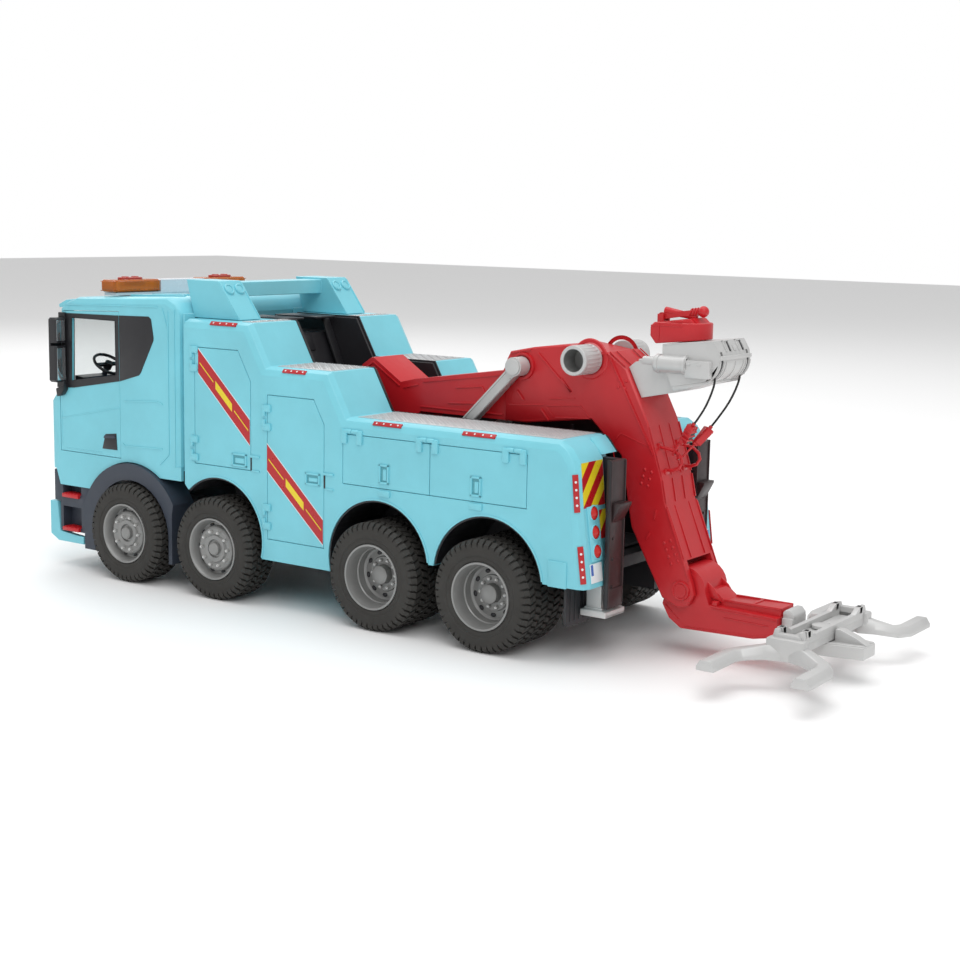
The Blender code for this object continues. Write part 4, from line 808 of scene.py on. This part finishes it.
def roll_bar_details(name, side):
    """Two work lamps on each post and edge ribs."""
    slope = slope_frame((209.5, 183.2), (228.0, 208.0))
    flip = -1 if slope.to_3x3().col[1].y < 0 else 1
    lamps = Piece(f"work_lamps_{name}", ROOT, BLUE)
    lens = Piece(f"work_lamp_glass_{name}", ROOT, BLUE)
    lamps.frame = lens.frame = slope
    for u in (49.6, 59.4):
        lamps.turned([(2.6, 0.3), (2.7, 1.2), (3.3, 1.4), (3.9, 1.0), (4.1, -0.3)],
                     (0, flip * side * u, 24.0), "x", 28)
        lens.rod((0.4, flip * side * u, 24.0), 2.7, 1.0, "x", 0.3, 24)
    for u in (44.6, 64.4):
        lamps.box((-0.2, 0.5), (flip * side * u - 0.5, flip * side * u + 0.5), (1.0, 29.5), 0.2)
    lamps.done()
    lens.done()


def marker_strip(name, x0, x1, z, side):
    """A red strip with four pale dots on the chamfer under an edge of the top."""
    turn = Matrix.Rotation(side * math.radians(-45), 4, "X")
    place = Matrix.Translation((0.5 * (x0 + x1), side * 77.72, z - 1.58)) @ turn
    half = 0.5 * (x1 - x0)
    strip = Piece(name, ROOT, STICK_RED)
    dots = Piece(name + "_dots", ROOT, STICK_WHITE)
    strip.frame = dots.frame = place
    strip.box((-half, half), (-1.4, 1.4), (-0.5, 0.4), 0.05)
    for k in range(4):
        dots.rod((-half + half * (2 * k + 1) / 4, 0, 0.3), 0.6, 0.4, "z", 0, 12)
    strip.done()
    dots.done()


# ---- wheel arches, bay edge, columns and mud flaps -----------------------------------------
def arch_liners(name, side):
    """Dark liners inside the wheel arches and a thin lip round each of them."""
    liner = Piece(f"arch_liners_{name}", ROOT, BLACK)
    lip = Piece(f"arch_lips_{name}", ROOT, BLUE)
    for x, start, end in ((0.0, 8, 172), (81.6, -14, 172), (214.9, 46, 194)):
        steps = 28
        angles = [math.radians(start + (end - start) * k / steps) for k in range(steps + 1)]
        for piece, r0, r1, y0, y1 in ((liner, 37.6, 38.95, 33.0, 78.9), (lip, 38.7, 39.9, 78.6, 79.75)):
            ring = ([(x + r0 * math.cos(a), ARCH_Z + r0 * math.sin(a)) for a in angles]
                    + [(x + r1 * math.cos(a), ARCH_Z + r1 * math.sin(a)) for a in reversed(angles)])
            for k in range(steps):
                quad = [ring[k], ring[k + 1], ring[-k - 2], ring[-k - 1]]
                piece.prism(quad, (side * y0, side * y1), "xz", 0)
    liner.done()
    lip.done()


def bay_edges(name, side):
    """The dark edge that follows the body's inner outline, and the tail's seal."""
    route = [(245.0, 183.4), (188.7, 183.4), (173.6, 156.7), (122.5, 156.7), (107.4, 129.8), (-47.0, 129.8),
             (-51.4, 128.4), (-54.2, 125.6), (-58.6, 119.8)]
    edge = Piece(f"bay_edge_{name}", ROOT, BLACK)
    for (x0, z0), (x1, z1) in zip(route, route[1:]):
        run = Vector((x1 - x0, z1 - z0)).normalized()
        inward = Vector((-run.y, run.x))
        quad = [(x0, z0), (x1, z1), (x1 + inward.x * 2.2, z1 + inward.y * 2.2),
                (x0 + inward.x * 2.2, z0 + inward.y * 2.2)]
        edge.prism(quad, (side * 31.9, side * 33.0), "xz", 0.15)
    edge.done()


def column_details(name, side):
    """A bracket, edge flanges and bolts on the support column, and the mud flap behind the wheel."""
    column = Piece(f"column_trim_{name}", ROOT, MAROON)
    column.box((-70.7, -68.2), (side * 43.3, side * 59.8), (32.5, 118.2), 0.4)
    column.box((-71.3, -70.2), (side * 58.7, side * 59.8), (34.0, 117.6), 0.3)
    column.box((-71.3, -70.2), (side * 43.3, side * 44.4), (34.0, 117.6), 0.3)
    column.box((-71.2, -70.4), (side * 43.3, side * 59.8), (32.6, 44.0), 0.4)
    column.prism(((-70.5, 94.0), (-76.0, 94.0), (-76.0, 92.6), (-70.5, 82.0)),
                 (side * 44.2, side * 57.6), "xz", 0.4)
    for z in (45.0, 61.0, 73.0):
        column.rod((-70.8, side * 55.2, z), 0.9, 1.2, "x", 0.3, 14)
    column.done()
    dark = Piece(f"column_edge_{name}", ROOT, BLACK)
    dark.box((-71.0, -68.3), (side * 59.7, side * 60.3), (32.5, 118.6), 0.15)
    dark.done()
    flap = Piece(f"mud_flap_{name}", ROOT, BLACK)
    flap.prism([(side * u, v) for u, v in ((46, 46.5), (46, 25), (47.5, 22.4), (50.5, 21.4), (70.5, 21.4),
                                           (73.5, 22.4), (75, 25), (75, 46.5))], (-52.6, -50.8), "yz", 0.4)
    for k in range(5):
        rib = side * (51 + 4.8 * k)
        flap.box((-53.0, -52.4), (rib - 0.5, rib + 0.5), (24.5, 43.0), 0.15)
    flap.done()
    rim = Piece(f"foot_rim_{name}", f"support_foot_{name}", SILVER)
    rim.prism([(-70.4, 27.1), (-53.5, 27.1), (-53.5, 28.6), (-55.0, 30.9), (-68.9, 30.9), (-70.4, 28.6)],
              (side * 39.1, side * 60.9), "xz", 0.35)
    rim.box((-66.6, -54.6), (side * 42.6, side * 58.4), (30.6, 32.0), 0.5)
    rim.done()


# ---- boom ----------------------------------------------------------------------------------
def boom_details(name, side):
    """Raised edges, panel lines, rivets and bosses on one side of the boom."""
    y = side * MAST_Y
    red = Piece(f"boom_relief_{name}", "boom", RED)
    for start, end in (((27.0, 171.0), (12.0, 174.0)), ((-36.6, 174.2), (-41.8, 174.6)),
                       ((-43.2, 173.4), (-74.4, 118.0)), ((7.0, 172.2), (-17.0, 150.2)),
                       ((-17.0, 150.2), (-10.0, 158.0)), ((22.0, 148.6), (17.0, 142.8)),
                       ((4.0, 138.4), (-1.6, 131.6)), ((-84.6, 87.4), (-101.0, 47.0)),
                       ((-76.5, 80.0), (-78.0, 86.0)), ((-71.5, 67.5), (-74.0, 71.5))):
        ridge(red, start, end, y, side * 0.75, 1.0)
    for start, end in (((28.0, 139.0), (2.0, 141.0)), ((1.0, 140.6), (-24.0, 142.6)),
                       ((-24.0, 142.6), (-31.0, 135.0)), ((-31.0, 135.4), (-6.0, 134.0)),
                       ((1.0, 140.6), (-5.0, 134.0)), ((-2.0, 145.0), (-20.0, 146.6)),
                       ((-46.5, 121.5), (-52.0, 128.5)), ((-52.0, 128.5), (-70.5, 122.5)),
                       ((-46.5, 121.5), (-50.5, 105.0)), ((-50.5, 105.0), (-54.0, 104.5))):
        ridge(red, start, end, y, side * 0.3, 0.7)
    red.turned([(6.6, 18.4), (6.9, 20.1), (8.2, 20.1), (8.6, 18.4)] if side > 0 else
               [(6.6, -18.4), (6.9, -20.1), (8.2, -20.1), (8.6, -18.4)], (STRUT_PIN[0], 0, STRUT_PIN[1]), "y", 40)
    red.turned([(9.6, side * 18.4), (9.8, side * 19.2), (11.6, side * 19.0), (12.2, side * 18.4)],
               KNOB_AXIS, "y", 48)
    for cx, cz, turn, rows in ((-70.5, 104.0, 14, 3), (-52.0, 157.5, 8, 2), (-88.5, 62.0, -24, 4)):
        a = math.radians(turn)
        for i in range(2):
            for j in range(rows):
                u, v = 4.6 * (i - 0.5), 4.3 * (j - 0.5 * (rows - 1))
                spot = (cx + u * math.cos(a) - v * math.sin(a), side * 18.6,
                        cz + u * math.sin(a) + v * math.cos(a))
                part = bmesh.new()
                bmesh.ops.create_uvsphere(part, u_segments=12, v_segments=8, radius=0.95)
                red.take(part, Matrix.Translation(spot) @ Matrix.Diagonal((1, 0.8, 1, 1)), 0)
    red.turned([(r, side * h) for r, h in ((0, 19.6), (3.9, 19.6), (4.1, 19.3), (4.4, 19.3), (4.7, 19.7),
                                           (5.6, 19.7), (6.0, 18.4))], ARM_PIN, "y", 36)
    red.done()
    waist = Piece(f"boom_waist_relief_{name}", "boom", RED)
    y = side * WAIST_Y
    for start, end in (((96.0, 148.0), (34.0, 157.0)), ((34.0, 157.0), (31.0, 150.0)),
                       ((98.0, 132.0), (34.0, 132.0)), ((70.0, 146.0), (50.0, 148.5)),
                       ((50.0, 148.5), (44.0, 138.0)), ((44.0, 138.0), (76.0, 136.0)),
                       ((112.0, 143.0), (100.0, 146.0)), ((146.0, 152.0), (137.0, 158.0)),
                       ((137.0, 158.0), (115.0, 144.0))):
        ridge(waist, start, end, y, side * 0.6, 0.9)
    waist.done()
    rear = Piece(f"mast_rear_ribs_{name}", "boom", RED)
    for (x0, z0), (x1, z1), v in (((-70.9, 134.0), (-80.4, 105.4), 6.0),
                                  ((-81.0, 103.6), (-84.0, 90.0), 6.0),
                                  ((-84.6, 88.2), (-97.0, 58.6), 8.6),
                                  ((-42.6, 176.0), (-53.6, 167.9), 9.5)):
        place = slope_frame((x1, z1), (x0, z0))
        rear.frame = place
        reach = math.hypot(x1 - x0, z1 - z0)
        flip = -1 if place.to_3x3().col[1].y < 0 else 1
        rear.box((-0.3, 0.22), (flip * side * v - 0.4, flip * side * v + 0.4), (0, reach), 0.1)
        rear.box((-0.3, 0.4), (flip * side * 17.5, flip * side * 18.4), (0, reach), 0.2)
    rear.frame = Matrix.Identity(4)
    for z in (122.6, 107.6):
        x = -69.9 - (136.5 - z) * 0.3313
        rear.box((x - 0.9, x + 0.6), (side * 8.6, side * 13.4), (z - 1.6, z + 1.6), 0.4)
    rear.done()


def knob_details(name, side):
    """Flutes round the winch knob, its rim and its dark bore."""
    body = f"winch_knob_{name}"
    knob = Piece(f"knob_flutes_{name}", body, SILVER)
    for k in range(22):
        a = 2 * math.pi * k / 22
        turn = Matrix.Translation(KNOB_AXIS) @ Matrix.Rotation(a, 4, "Y")
        part = bmesh.new()
        bmesh.ops.create_cube(part, size=1)
        bmesh.ops.scale(part, vec=(1.15, 13.6, 0.9), verts=part.verts)
        knob.take(part, turn @ Matrix.Translation((0, side * 27.8, 8.45)), 0.25)
    knob.turned([(r, side * h) for r, h in ((6.75, 34.4), (6.8, 37.7), (7.4, 38.0), (8.5, 37.9), (8.9, 37.2),
                                            (8.9, 35.0), (8.6, 34.4))], KNOB_AXIS, "y", 64)
    knob.turned([(8.5, side * 21.6), (8.88, side * 21.2), (8.88, side * 19.6), (8.4, side * 19.3)],
                KNOB_AXIS, "y", 64)
    knob.done()
    bore = Piece(f"knob_bore_{name}", body, RIM)
    bore.turned([(r, side * h) for r, h in ((0, 25.6), (6.4, 25.6), (6.72, 37.2), (6.85, 37.2))],
                KNOB_AXIS, "y", 48)
    bore.done()


def strut_details(name, side):
    """A collar step and an inset face on the strut."""
    body = f"strut_{name}"
    bar = Piece(f"strut_trim_{name}", body, SILVER)
    x, z = STRUT_PIN
    bar.rod((x, side * 30.3, z), 5.0, 1.0, "y", 0.35, 32)
    a = 1 / math.sqrt(2)
    start, end = (x + 8 * a, z - 8 * a), (x + 74 * a, z - 74 * a)
    for off in (-2.6, 2.6):
        shift = (off * a, off * a)
        ridge(bar, (start[0] + shift[0], start[1] + shift[1]), (end[0] + shift[0], end[1] + shift[1]),
              side * 26.4, side * 0.6, 0.9)
    bar.done()


# ---- crane head, cover, lever and hooks ----------------------------------------------------
def head_details():
    """Ribs, frames and slots on the crane head, the slots being black boxes of painted shade; seams and a wedge
    on its cover.
    """
    silver = Piece("head_trim", "boom", SILVER)
    # The black boxes in the head's frames and along the drum are painted shade in its slots.
    dark = Piece("head_slot_shade", "boom", BLACK)
    (cx, cz), radius = DRUM_CENTRE, DRUM_RADIUS

    def on_arc(degrees, reach):
        a = math.radians(degrees)
        return (cx + reach * math.cos(a), cz + reach * math.sin(a))

    for u in (-18.7, -13.9, -10.8, -0.6, 10.8, 13.9, 18.7):
        for a0 in range(182, 246, 8):
            quad = [on_arc(a0, radius - 0.6), on_arc(a0 + 8, radius - 0.6), on_arc(a0 + 8, radius + 0.45),
                    on_arc(a0, radius + 0.45)]
            silver.prism(quad, (u - 0.5, u + 0.5), "xz", 0)
    silver.box((-116.4, -114.2), (-19.1, 19.1), (175.4, 177.8), 0.5)
    slope = slope_frame((-114.6, 179.6), (-110.8, 186.3))
    silver.frame = dark.frame = slope
    for u in (9.5, -6.5):
        silver.box((-0.3, 0.7), (u - 3.6, u - 2.6), (0.2, 7.4), 0.2)
        silver.box((-0.3, 0.7), (u + 2.6, u + 3.6), (0.2, 7.4), 0.2)
        silver.box((-0.3, 0.7), (u - 3.6, u + 3.6), (6.6, 7.5), 0.2)
        dark.box((-0.3, 0.15), (u - 2.5, u - 1.5), (0.6, 6.6), 0)
        dark.box((-0.3, 0.15), (u + 1.5, u + 2.5), (0.6, 6.6), 0)
    silver.box((-0.3, 0.5), (0.2, 2.8), (0.6, 4.2), 0.3)
    silver.frame = dark.frame = Matrix.Identity(4)
    for side in (1, -1):
        for degrees in range(170, 236, 6):
            x, z = on_arc(degrees, radius - 0.5)
            dark.box((x - 0.75, x + 0.75), (side * 14.8, side * 17.2), (z - 0.2, z + 0.2), 0,
                     Matrix.Rotation(-math.radians(degrees) + math.pi / 2, 4, "Y"))
        plate_y = (side * 18.9, side * 19.5)
        edge = [(-78.6, 182.4), (-110.6, 185.9), (-114.3, 179.6), (-114.9, 174.6), (-114.0, 169.4),
                (-111.2, 165.4)]
        for (x0, z0), (x1, z1) in zip(edge, edge[1:]):
            ridge(silver, (x0, z0), (x1, z1), side * 19.1, side * 0.35, 0.8)
        for collar in (((5.25, -95.0), (5.7, -94.8), (5.7, -93.2), (5.25, -93.0)),
                       ((5.25, -77.4), (5.6, -77.2), (5.6, -75.2), (4.9, -74.4), (0, -74.3))):
            silver.turned(collar, (0, side * 18.8, 171.4), "x", 36)
        silver.rod((-68.8, side * 12.6, 171.6), 3.0, 12.0, "x", 0.4, 24)
        silver.box((-110.8, -95.0), (side * 15.0, side * 23.1), (164.6, 174.6), 0.7)
        for x in (-98.6, -105.4):
            silver.box((x, x + 2.6), (side * 22.6, side * 23.5), (172.0, 173.2), 0.2)
        silver.box((-64.5, -59.5), (side * 9.0, side * 13.5), (170.6, 172.6), 0.5)
        silver.prism(((-85.0, 158.6), (-110.0, 163.4), (-109.4, 161.6), (-86.0, 156.0)), plate_y, "xz", 0.15)
    silver.done()
    dark.done()
    red = Piece("cover_trim", "boom", RED)
    for side in (1, -1):
        ridge(red, (-71.6, 183.6), (-71.6, 194.4), side * 12.0, side * 0.35, 0.7)
        ridge(red, (-66.2, 192.6), (-86.8, 192.9), side * 12.0, side * 0.25, 0.7)
        red.prism(((-69.6, 194.3), (-90.6, 197.2), (-93.6, 194.3)), (side * 7.3, side * 10.2), "xz", 0.5)
    red.done()
    lever = Piece("lever_trim", "head_lever", RED)
    axis = Matrix.Rotation(math.radians(-90 - 8.4), 4, "Y")
    lever.rod((-79.4, 0, 199.3), 2.35, 21.0, axis, 0.3, 24, 1.7)
    for t in range(3):
        lever.rod((-86.4 - 1.9 * t, 0, 200.3 + 0.28 * t), 2.75, 0.8, axis, 0.25, 20)
    part = bmesh.new()
    bmesh.ops.create_uvsphere(part, u_segments=28, v_segments=18, radius=3.3)
    lever.take(part, Matrix.Translation((-93.8, 0, 201.2)), 0)
    lever.done()


HOOK_ENDS = {"left": ((-96.4, 11.9, 136.9), (-88.3, 11.8, 120.0)),
             "right": ((-99.4, -3.4, 134.0), (-90.0, 9.2, 117.0))}


def hook_details(name):
    """A ferrule on the rope, a squared block with ribs and a wider nose on each hook; on the left hook the
    notches between the ribs are dark maroon, painted shade.
    """
    start, end = (Vector(p) for p in HOOK_ENDS[name])
    run = (end - start).normalized()
    turn = run.to_track_quat("-Z", "Y").to_matrix().to_4x4()
    red = Piece(f"hook_trim_{name}", "boom", RED)
    red.frame = Matrix.Translation(start) @ turn
    red.rod((0, 0, 0.1), 1.15, 2.2, "z", 0.3, 16)
    red.prism(((-3.4, -0.8), (3.4, -0.8), (3.4, -3.0), (2.1, -12.6), (-2.1, -12.6), (-3.4, -3.0)),
              (-2.2, 2.2), "xz", 0.6)
    if name == "left":
        for k in range(3):
            red.box((-3.7, 3.7), (-2.5, 2.5), (-4.6 - 2.7 * k, -3.4 - 2.7 * k), 0.3)
    red.done()
    if name == "left":
        # Dark maroon in the notches between the ribs is painted shade.
        dark = Piece("hook_notch_shade", "boom", MAROON)
        dark.frame = Matrix.Translation(start) @ turn
        for k in range(3):
            dark.box((-1.9, 1.9), (-2.35, 2.35), (-6.0 - 2.7 * k, -4.7 - 2.7 * k), 0)
        dark.done()


# ---- underlift -----------------------------------------------------------------------------
def underlift_details():
    """Raised edges and seams on the folding arm."""
    red = Piece("arm_relief", "underlift_arm", RED)
    for side in (1, -1):
        y = side * 14.0
        for start, end in (((-113.5, 31.4), (-154.6, 30.2)), ((-83.4, 29.6), (-92.6, 21.4)),
                           ((-97.0, 17.8), (-140.0, 18.8)), ((-141.0, 18.9), (-152.0, 21.0)),
                           ((-122.0, 27.0), (-150.0, 26.4))):
            ridge(red, start, end, y, side * 0.4, 0.7)
        red.box((-117.0, -113.4), (side * 9.6, side * 13.4), (32.4, 35.4), 0.6)
        red.prism(((-113.0, 41.6), (-106.6, 46.8), (-104.0, 45.0), (-108.0, 37.0), (-118.0, 34.6)),
                  (side * 8.0, side * 9.4), "xz", 0.4)
        red.box((-154.8, -119.0), (side * 7.2, side * 8.8), (35.0, 36.6), 0.35)
    red.box((-137.6, -135.4), (-7.0, 7.0), (35.4, 36.5), 0.3)
    red.done()


def grid_piece(name, side):
    """A wheel cradle cast in one: a hub on the crossbar and two bevelled arms bending outwards."""
    piece = Piece(f"wheel_grid_{name}_cast", "fork", SILVER)
    for route in (((-172.0, 43.0, 22.5), (-163.0, 46.5, 21.0), (-151.0, 51.5, 18.9), (-148.0, 58.0, 18.7),
                   (-148.0, 87.0, 18.5)),
                  ((-180.0, 43.0, 22.5), (-190.0, 46.5, 21.0), (-200.0, 51.5, 18.9), (-203.0, 58.0, 18.7),
                   (-203.0, 87.0, 18.5))):
        section = ((-5.4, -3.0), (5.4, -3.0), (5.4, -0.6), (3.0, 3.0), (-3.0, 3.0), (-5.4, -0.6))
        path = [Vector((x, side * y, z)) for x, y, z in route]
        part = bmesh.new()
        rings = []
        for k, point in enumerate(path):
            ahead = (path[min(k + 1, len(path) - 1)] - point).normalized() if k + 1 < len(path) else None
            behind = (point - path[k - 1]).normalized() if k else None
            if ahead is None or behind is None:
                run, spread = ahead or behind, 1.0
            else:
                run = (ahead + behind).normalized()
                spread = 1 / max(0.5, run.dot(ahead))
            across = Vector((run.y, -run.x, 0)).normalized()
            taller = 1.75 if k == 0 else 1.25 if k == 1 else 1.0
            rings.append([part.verts.new(point + across * u * spread + Vector((0, 0, v * taller)))
                          for u, v in section])
        for here, after in zip(rings, rings[1:]):
            for i in range(len(section)):
                n = (i + 1) % len(section)
                part.faces.new((here[i], here[n], after[n], after[i]))
        part.faces.new(rings[0][::-1])
        part.faces.new(rings[-1])
        bmesh.ops.recalc_face_normals(part, faces=part.faces)
        piece.take(part, Matrix.Identity(4), 0.55, 2)
    piece.box((-187.0, -164.5), (side * 39.9, side * 48.2), (17.0, 29.6), 1.2)
    piece.prism(((-185.5, 24.0), (-166.0, 24.0), (-168.5, 31.6), (-183.0, 31.6)),
                (side * 39.9, side * 44.5), "xz", 0.6)
    for x in (-183.0, -168.6):
        piece.prism(((x - 2.6, 28.0), (x + 2.6, 28.0), (x + 1.2, 33.8), (x - 1.2, 33.8)),
                    (side * 39.9, side * 43.4), "xz", 0.5)
    piece.done([f"wheel_grid_{name}"])


def fork_details():
    """Rails and a channel on the crossbar, a wedge on the tongue and a stepped collar."""
    bar = Piece("crossbar_trim", "fork", SILVER)
    for side in (1, -1):
        for x in (-183.3, -168.7):
            bar.prism(((side * 26.0, 29.8), (side * 37.5, 29.8), (side * 38.6, 34.0), (side * 35.0, 34.0)),
                      (x - 1.6, x + 1.6), "yz", 0.4)
        bar.box((-181.0, -171.0), (side * 12.0, side * 30.0), (26.3, 27.3), 0.3)
    bar.rod((-176.0, 0, 28.0), 5.4, 2.0, "z", 0.4, 28)
    bar.done()
    tongue = Piece("tongue_trim", "fork_slide", SILVER)
    tongue.prism(((-186.0, 21.0), (-205.0, 21.0), (-205.0, 21.8), (-198.5, 25.2), (-189.0, 28.6), (-186.0, 28.6)),
                 (-3.4, 3.4), "xz", 0.7)
    for side in (1, -1):
        tongue.prism(((-205.2, side * 7.2), (-182.0, side * 12.2), (-186.0, side * 9.0), (-204.0, side * 4.6)),
                     (21.0, 22.3), "xy", 0.4)
    tongue.prism(((-156.0, 31.0), (-162.9, 31.0), (-162.9, 33.4), (-160.5, 36.0), (-157.4, 36.0), (-156.0, 34.6)),
                 (-8.2, 8.2), "xz", 0.6)
    tongue.box((-162.8, -155.8), (-9.4, 9.4), (17.4, 31.6), 0.9)
    tongue.done()


# ---- bay, chassis and dashboard details -----------------------------------------------------
def bay_details():
    """Equipment and ribs in the trough, rails and cross members below."""
    black = Piece("bay_equipment", ROOT, BLACK)
    for side in (1, -1):
        for x in range(-40, 110, 25):
            black.box((x, x + 2.0), (side * 28.4, side * 29.9), (62, 124), 0.3)
        black.prism(((199.0, 150.0), (213.0, 181.0), (214.6, 181.0), (200.6, 150.0)),
                    (side * 22, side * 29.5), "xz", 0.3)
        black.box((205.0, 243.0), (side * 6.0, side * 27.0), (181.8, 183.2), 0.5)
    black.box((209.0, 216.0), (-9.0, 9.0), (158.0, 171.0), 1.0, Matrix.Rotation(math.radians(24), 4, "Y"))
    black.done()
    low = Piece("chassis_details", ROOT, BLACK)
    for x in (40.0, 122.0, 165.0, 255.0):
        low.box((x - 4, x + 4), (-29.5, 29.5), (36, 52), 0.8)
    for side in (1, -1):
        low.box((-54.0, -46.0), (side * 30.0, side * 62.0), (50.0, 57.0), 0.8)
        low.rod((148.0, side * 45.0, 47.0), 11.0, 26.0, "x", 0.8, 32)
        low.box((128.0, 170.0), (side * 31.0, side * 34.0), (42.0, 52.0), 0.6)
    low.done()
    dash = Piece("dash_details", ROOT, GREY)
    dash.prism(((347.2, 126.0), (353.8, 136.2), (354.6, 135.6), (348.2, 125.2)), (-20, 62), "xz", 0.2)
    dash.tube([(360.0, 46.0, 134.0), (356.5, 46.0, 140.5)], 2.0, 14)
    dash.done()


# ---- dressing the CAD pieces ---------------------------------------------------------------
for side_name, _ in SIDES:
    for node in ("side_body", "cab_door", "locker_1", "locker_2", "flap_3", "flap_4"):
        dress(f"{node}_{side_name}", BLUE, 0.45)
    dress(f"support_foot_{side_name}", SILVER, 0.5)
    dress(f"mirror_{side_name}", BLACK, 0.5)
    dress(f"amber_lens_{side_name}", AMBER, 0.5)
    dress(f"siren_button_{side_name}", BUTTON, 0.6)
    dress(f"hook_{side_name}", RED, 0.3)
    for node in ("strut", "winch_knob"):
        dress(f"{node}_{side_name}", SILVER, 0.5)
for node, material in (
        ("chassis_frame", BLACK), ("bay_liner", BLACK),
        ("cab_interior", BLACK), ("steering_wheel", BLACK),
        ("cab_shell", BLUE), ("roll_bar_arch", BLUE),
        ("front_bumper", BLUE), ("front_fenders", GREY),
        ("cab_glazing", GLASS), ("light_bar", WHITE),
        ("boom", RED), ("head_cover", RED), ("head_lever", RED),
        ("underlift_arm", RED), ("crane_head", SILVER),
        ("fork_slide", SILVER), ("crossbar", SILVER)):
    dress(node, material, 0.5)
for side_name, side_sign in SIDES:
    line, leaves, length = rope(side_name)
    for wheel_number in range(1, 5):
        wheel(wheel_number, side_name, side_sign)
    for details in (side_details, stripes, tail_details, cab_side, light_bar_details, roll_bar_details,
                    arch_liners, bay_edges, column_details, boom_details, knob_details, strut_details,
                    grid_piece):
        details(side_name, side_sign)
    hook_details(side_name)
    for title, x0, x1, z in (("step_1", 199.8, 222.6, 182.9), ("step_2", 141.0, 160.0, 156.2),
                             ("deck_front", 65.0, 86.7, 129.3), ("deck_rear", -3.5, 19.8, 129.3)):
        marker_strip(f"marker_{title}_{side_name}", x0, x1, z, side_sign)
cab_front()
head_details()
underlift_details()
fork_details()
bay_details()


# ---- floor, lights and view ----------------------------------------------------------------
def studio():
    """A pale floor, a plain white world and three soft lamps.

    The world shines 0.62 on the object and shows as 1.0 behind it, which keeps the backdrop white.
    """
    bpy.ops.mesh.primitive_plane_add(size=12.0)
    floor = bpy.context.object
    floor.name = "floor"
    material, tree, shader = new_material("floor")
    shader.inputs["Base Color"].default_value = (0.97, 0.97, 0.97, 1)
    shader.inputs["Roughness"].default_value = 0.6
    floor.data.materials.append(material)
    world = bpy.data.worlds.new("studio")
    bpy.context.scene.world = world
    world.use_nodes = True
    background = world.node_tree.nodes["Background"]
    background.inputs["Color"].default_value = (1, 1, 1, 1)
    nodes, links = world.node_tree.nodes, world.node_tree.links
    path = nodes.new("ShaderNodeLightPath")
    strength = nodes.new("ShaderNodeMapRange")
    strength.inputs["To Min"].default_value = 0.62
    strength.inputs["To Max"].default_value = 1.0
    links.new(path.outputs["Is Camera Ray"], strength.inputs["Value"])
    links.new(strength.outputs["Result"], background.inputs["Strength"])
    for name, place, size, power in (("key", (-1.4, 1.6, 1.9), 1.2, 17.0),
                                     ("top", (0.0, 0.0, 2.2), 2.0, 26.0),
                                     ("rim", (1.6, -1.2, 1.4), 1.2, 9.0)):
        data = bpy.data.lights.new(name, "AREA")
        data.size = size
        data.energy = power
        lamp = bpy.data.objects.new(name, data)
        bpy.context.scene.collection.objects.link(lamp)
        lamp.location = place
        lamp.rotation_euler = (Vector((0, 0, 0.08)) - Vector(place)).to_track_quat("-Z", "Y").to_euler()
    bpy.context.scene.view_settings.view_transform = "Standard"


studio()
bpy.context.view_layer.update()
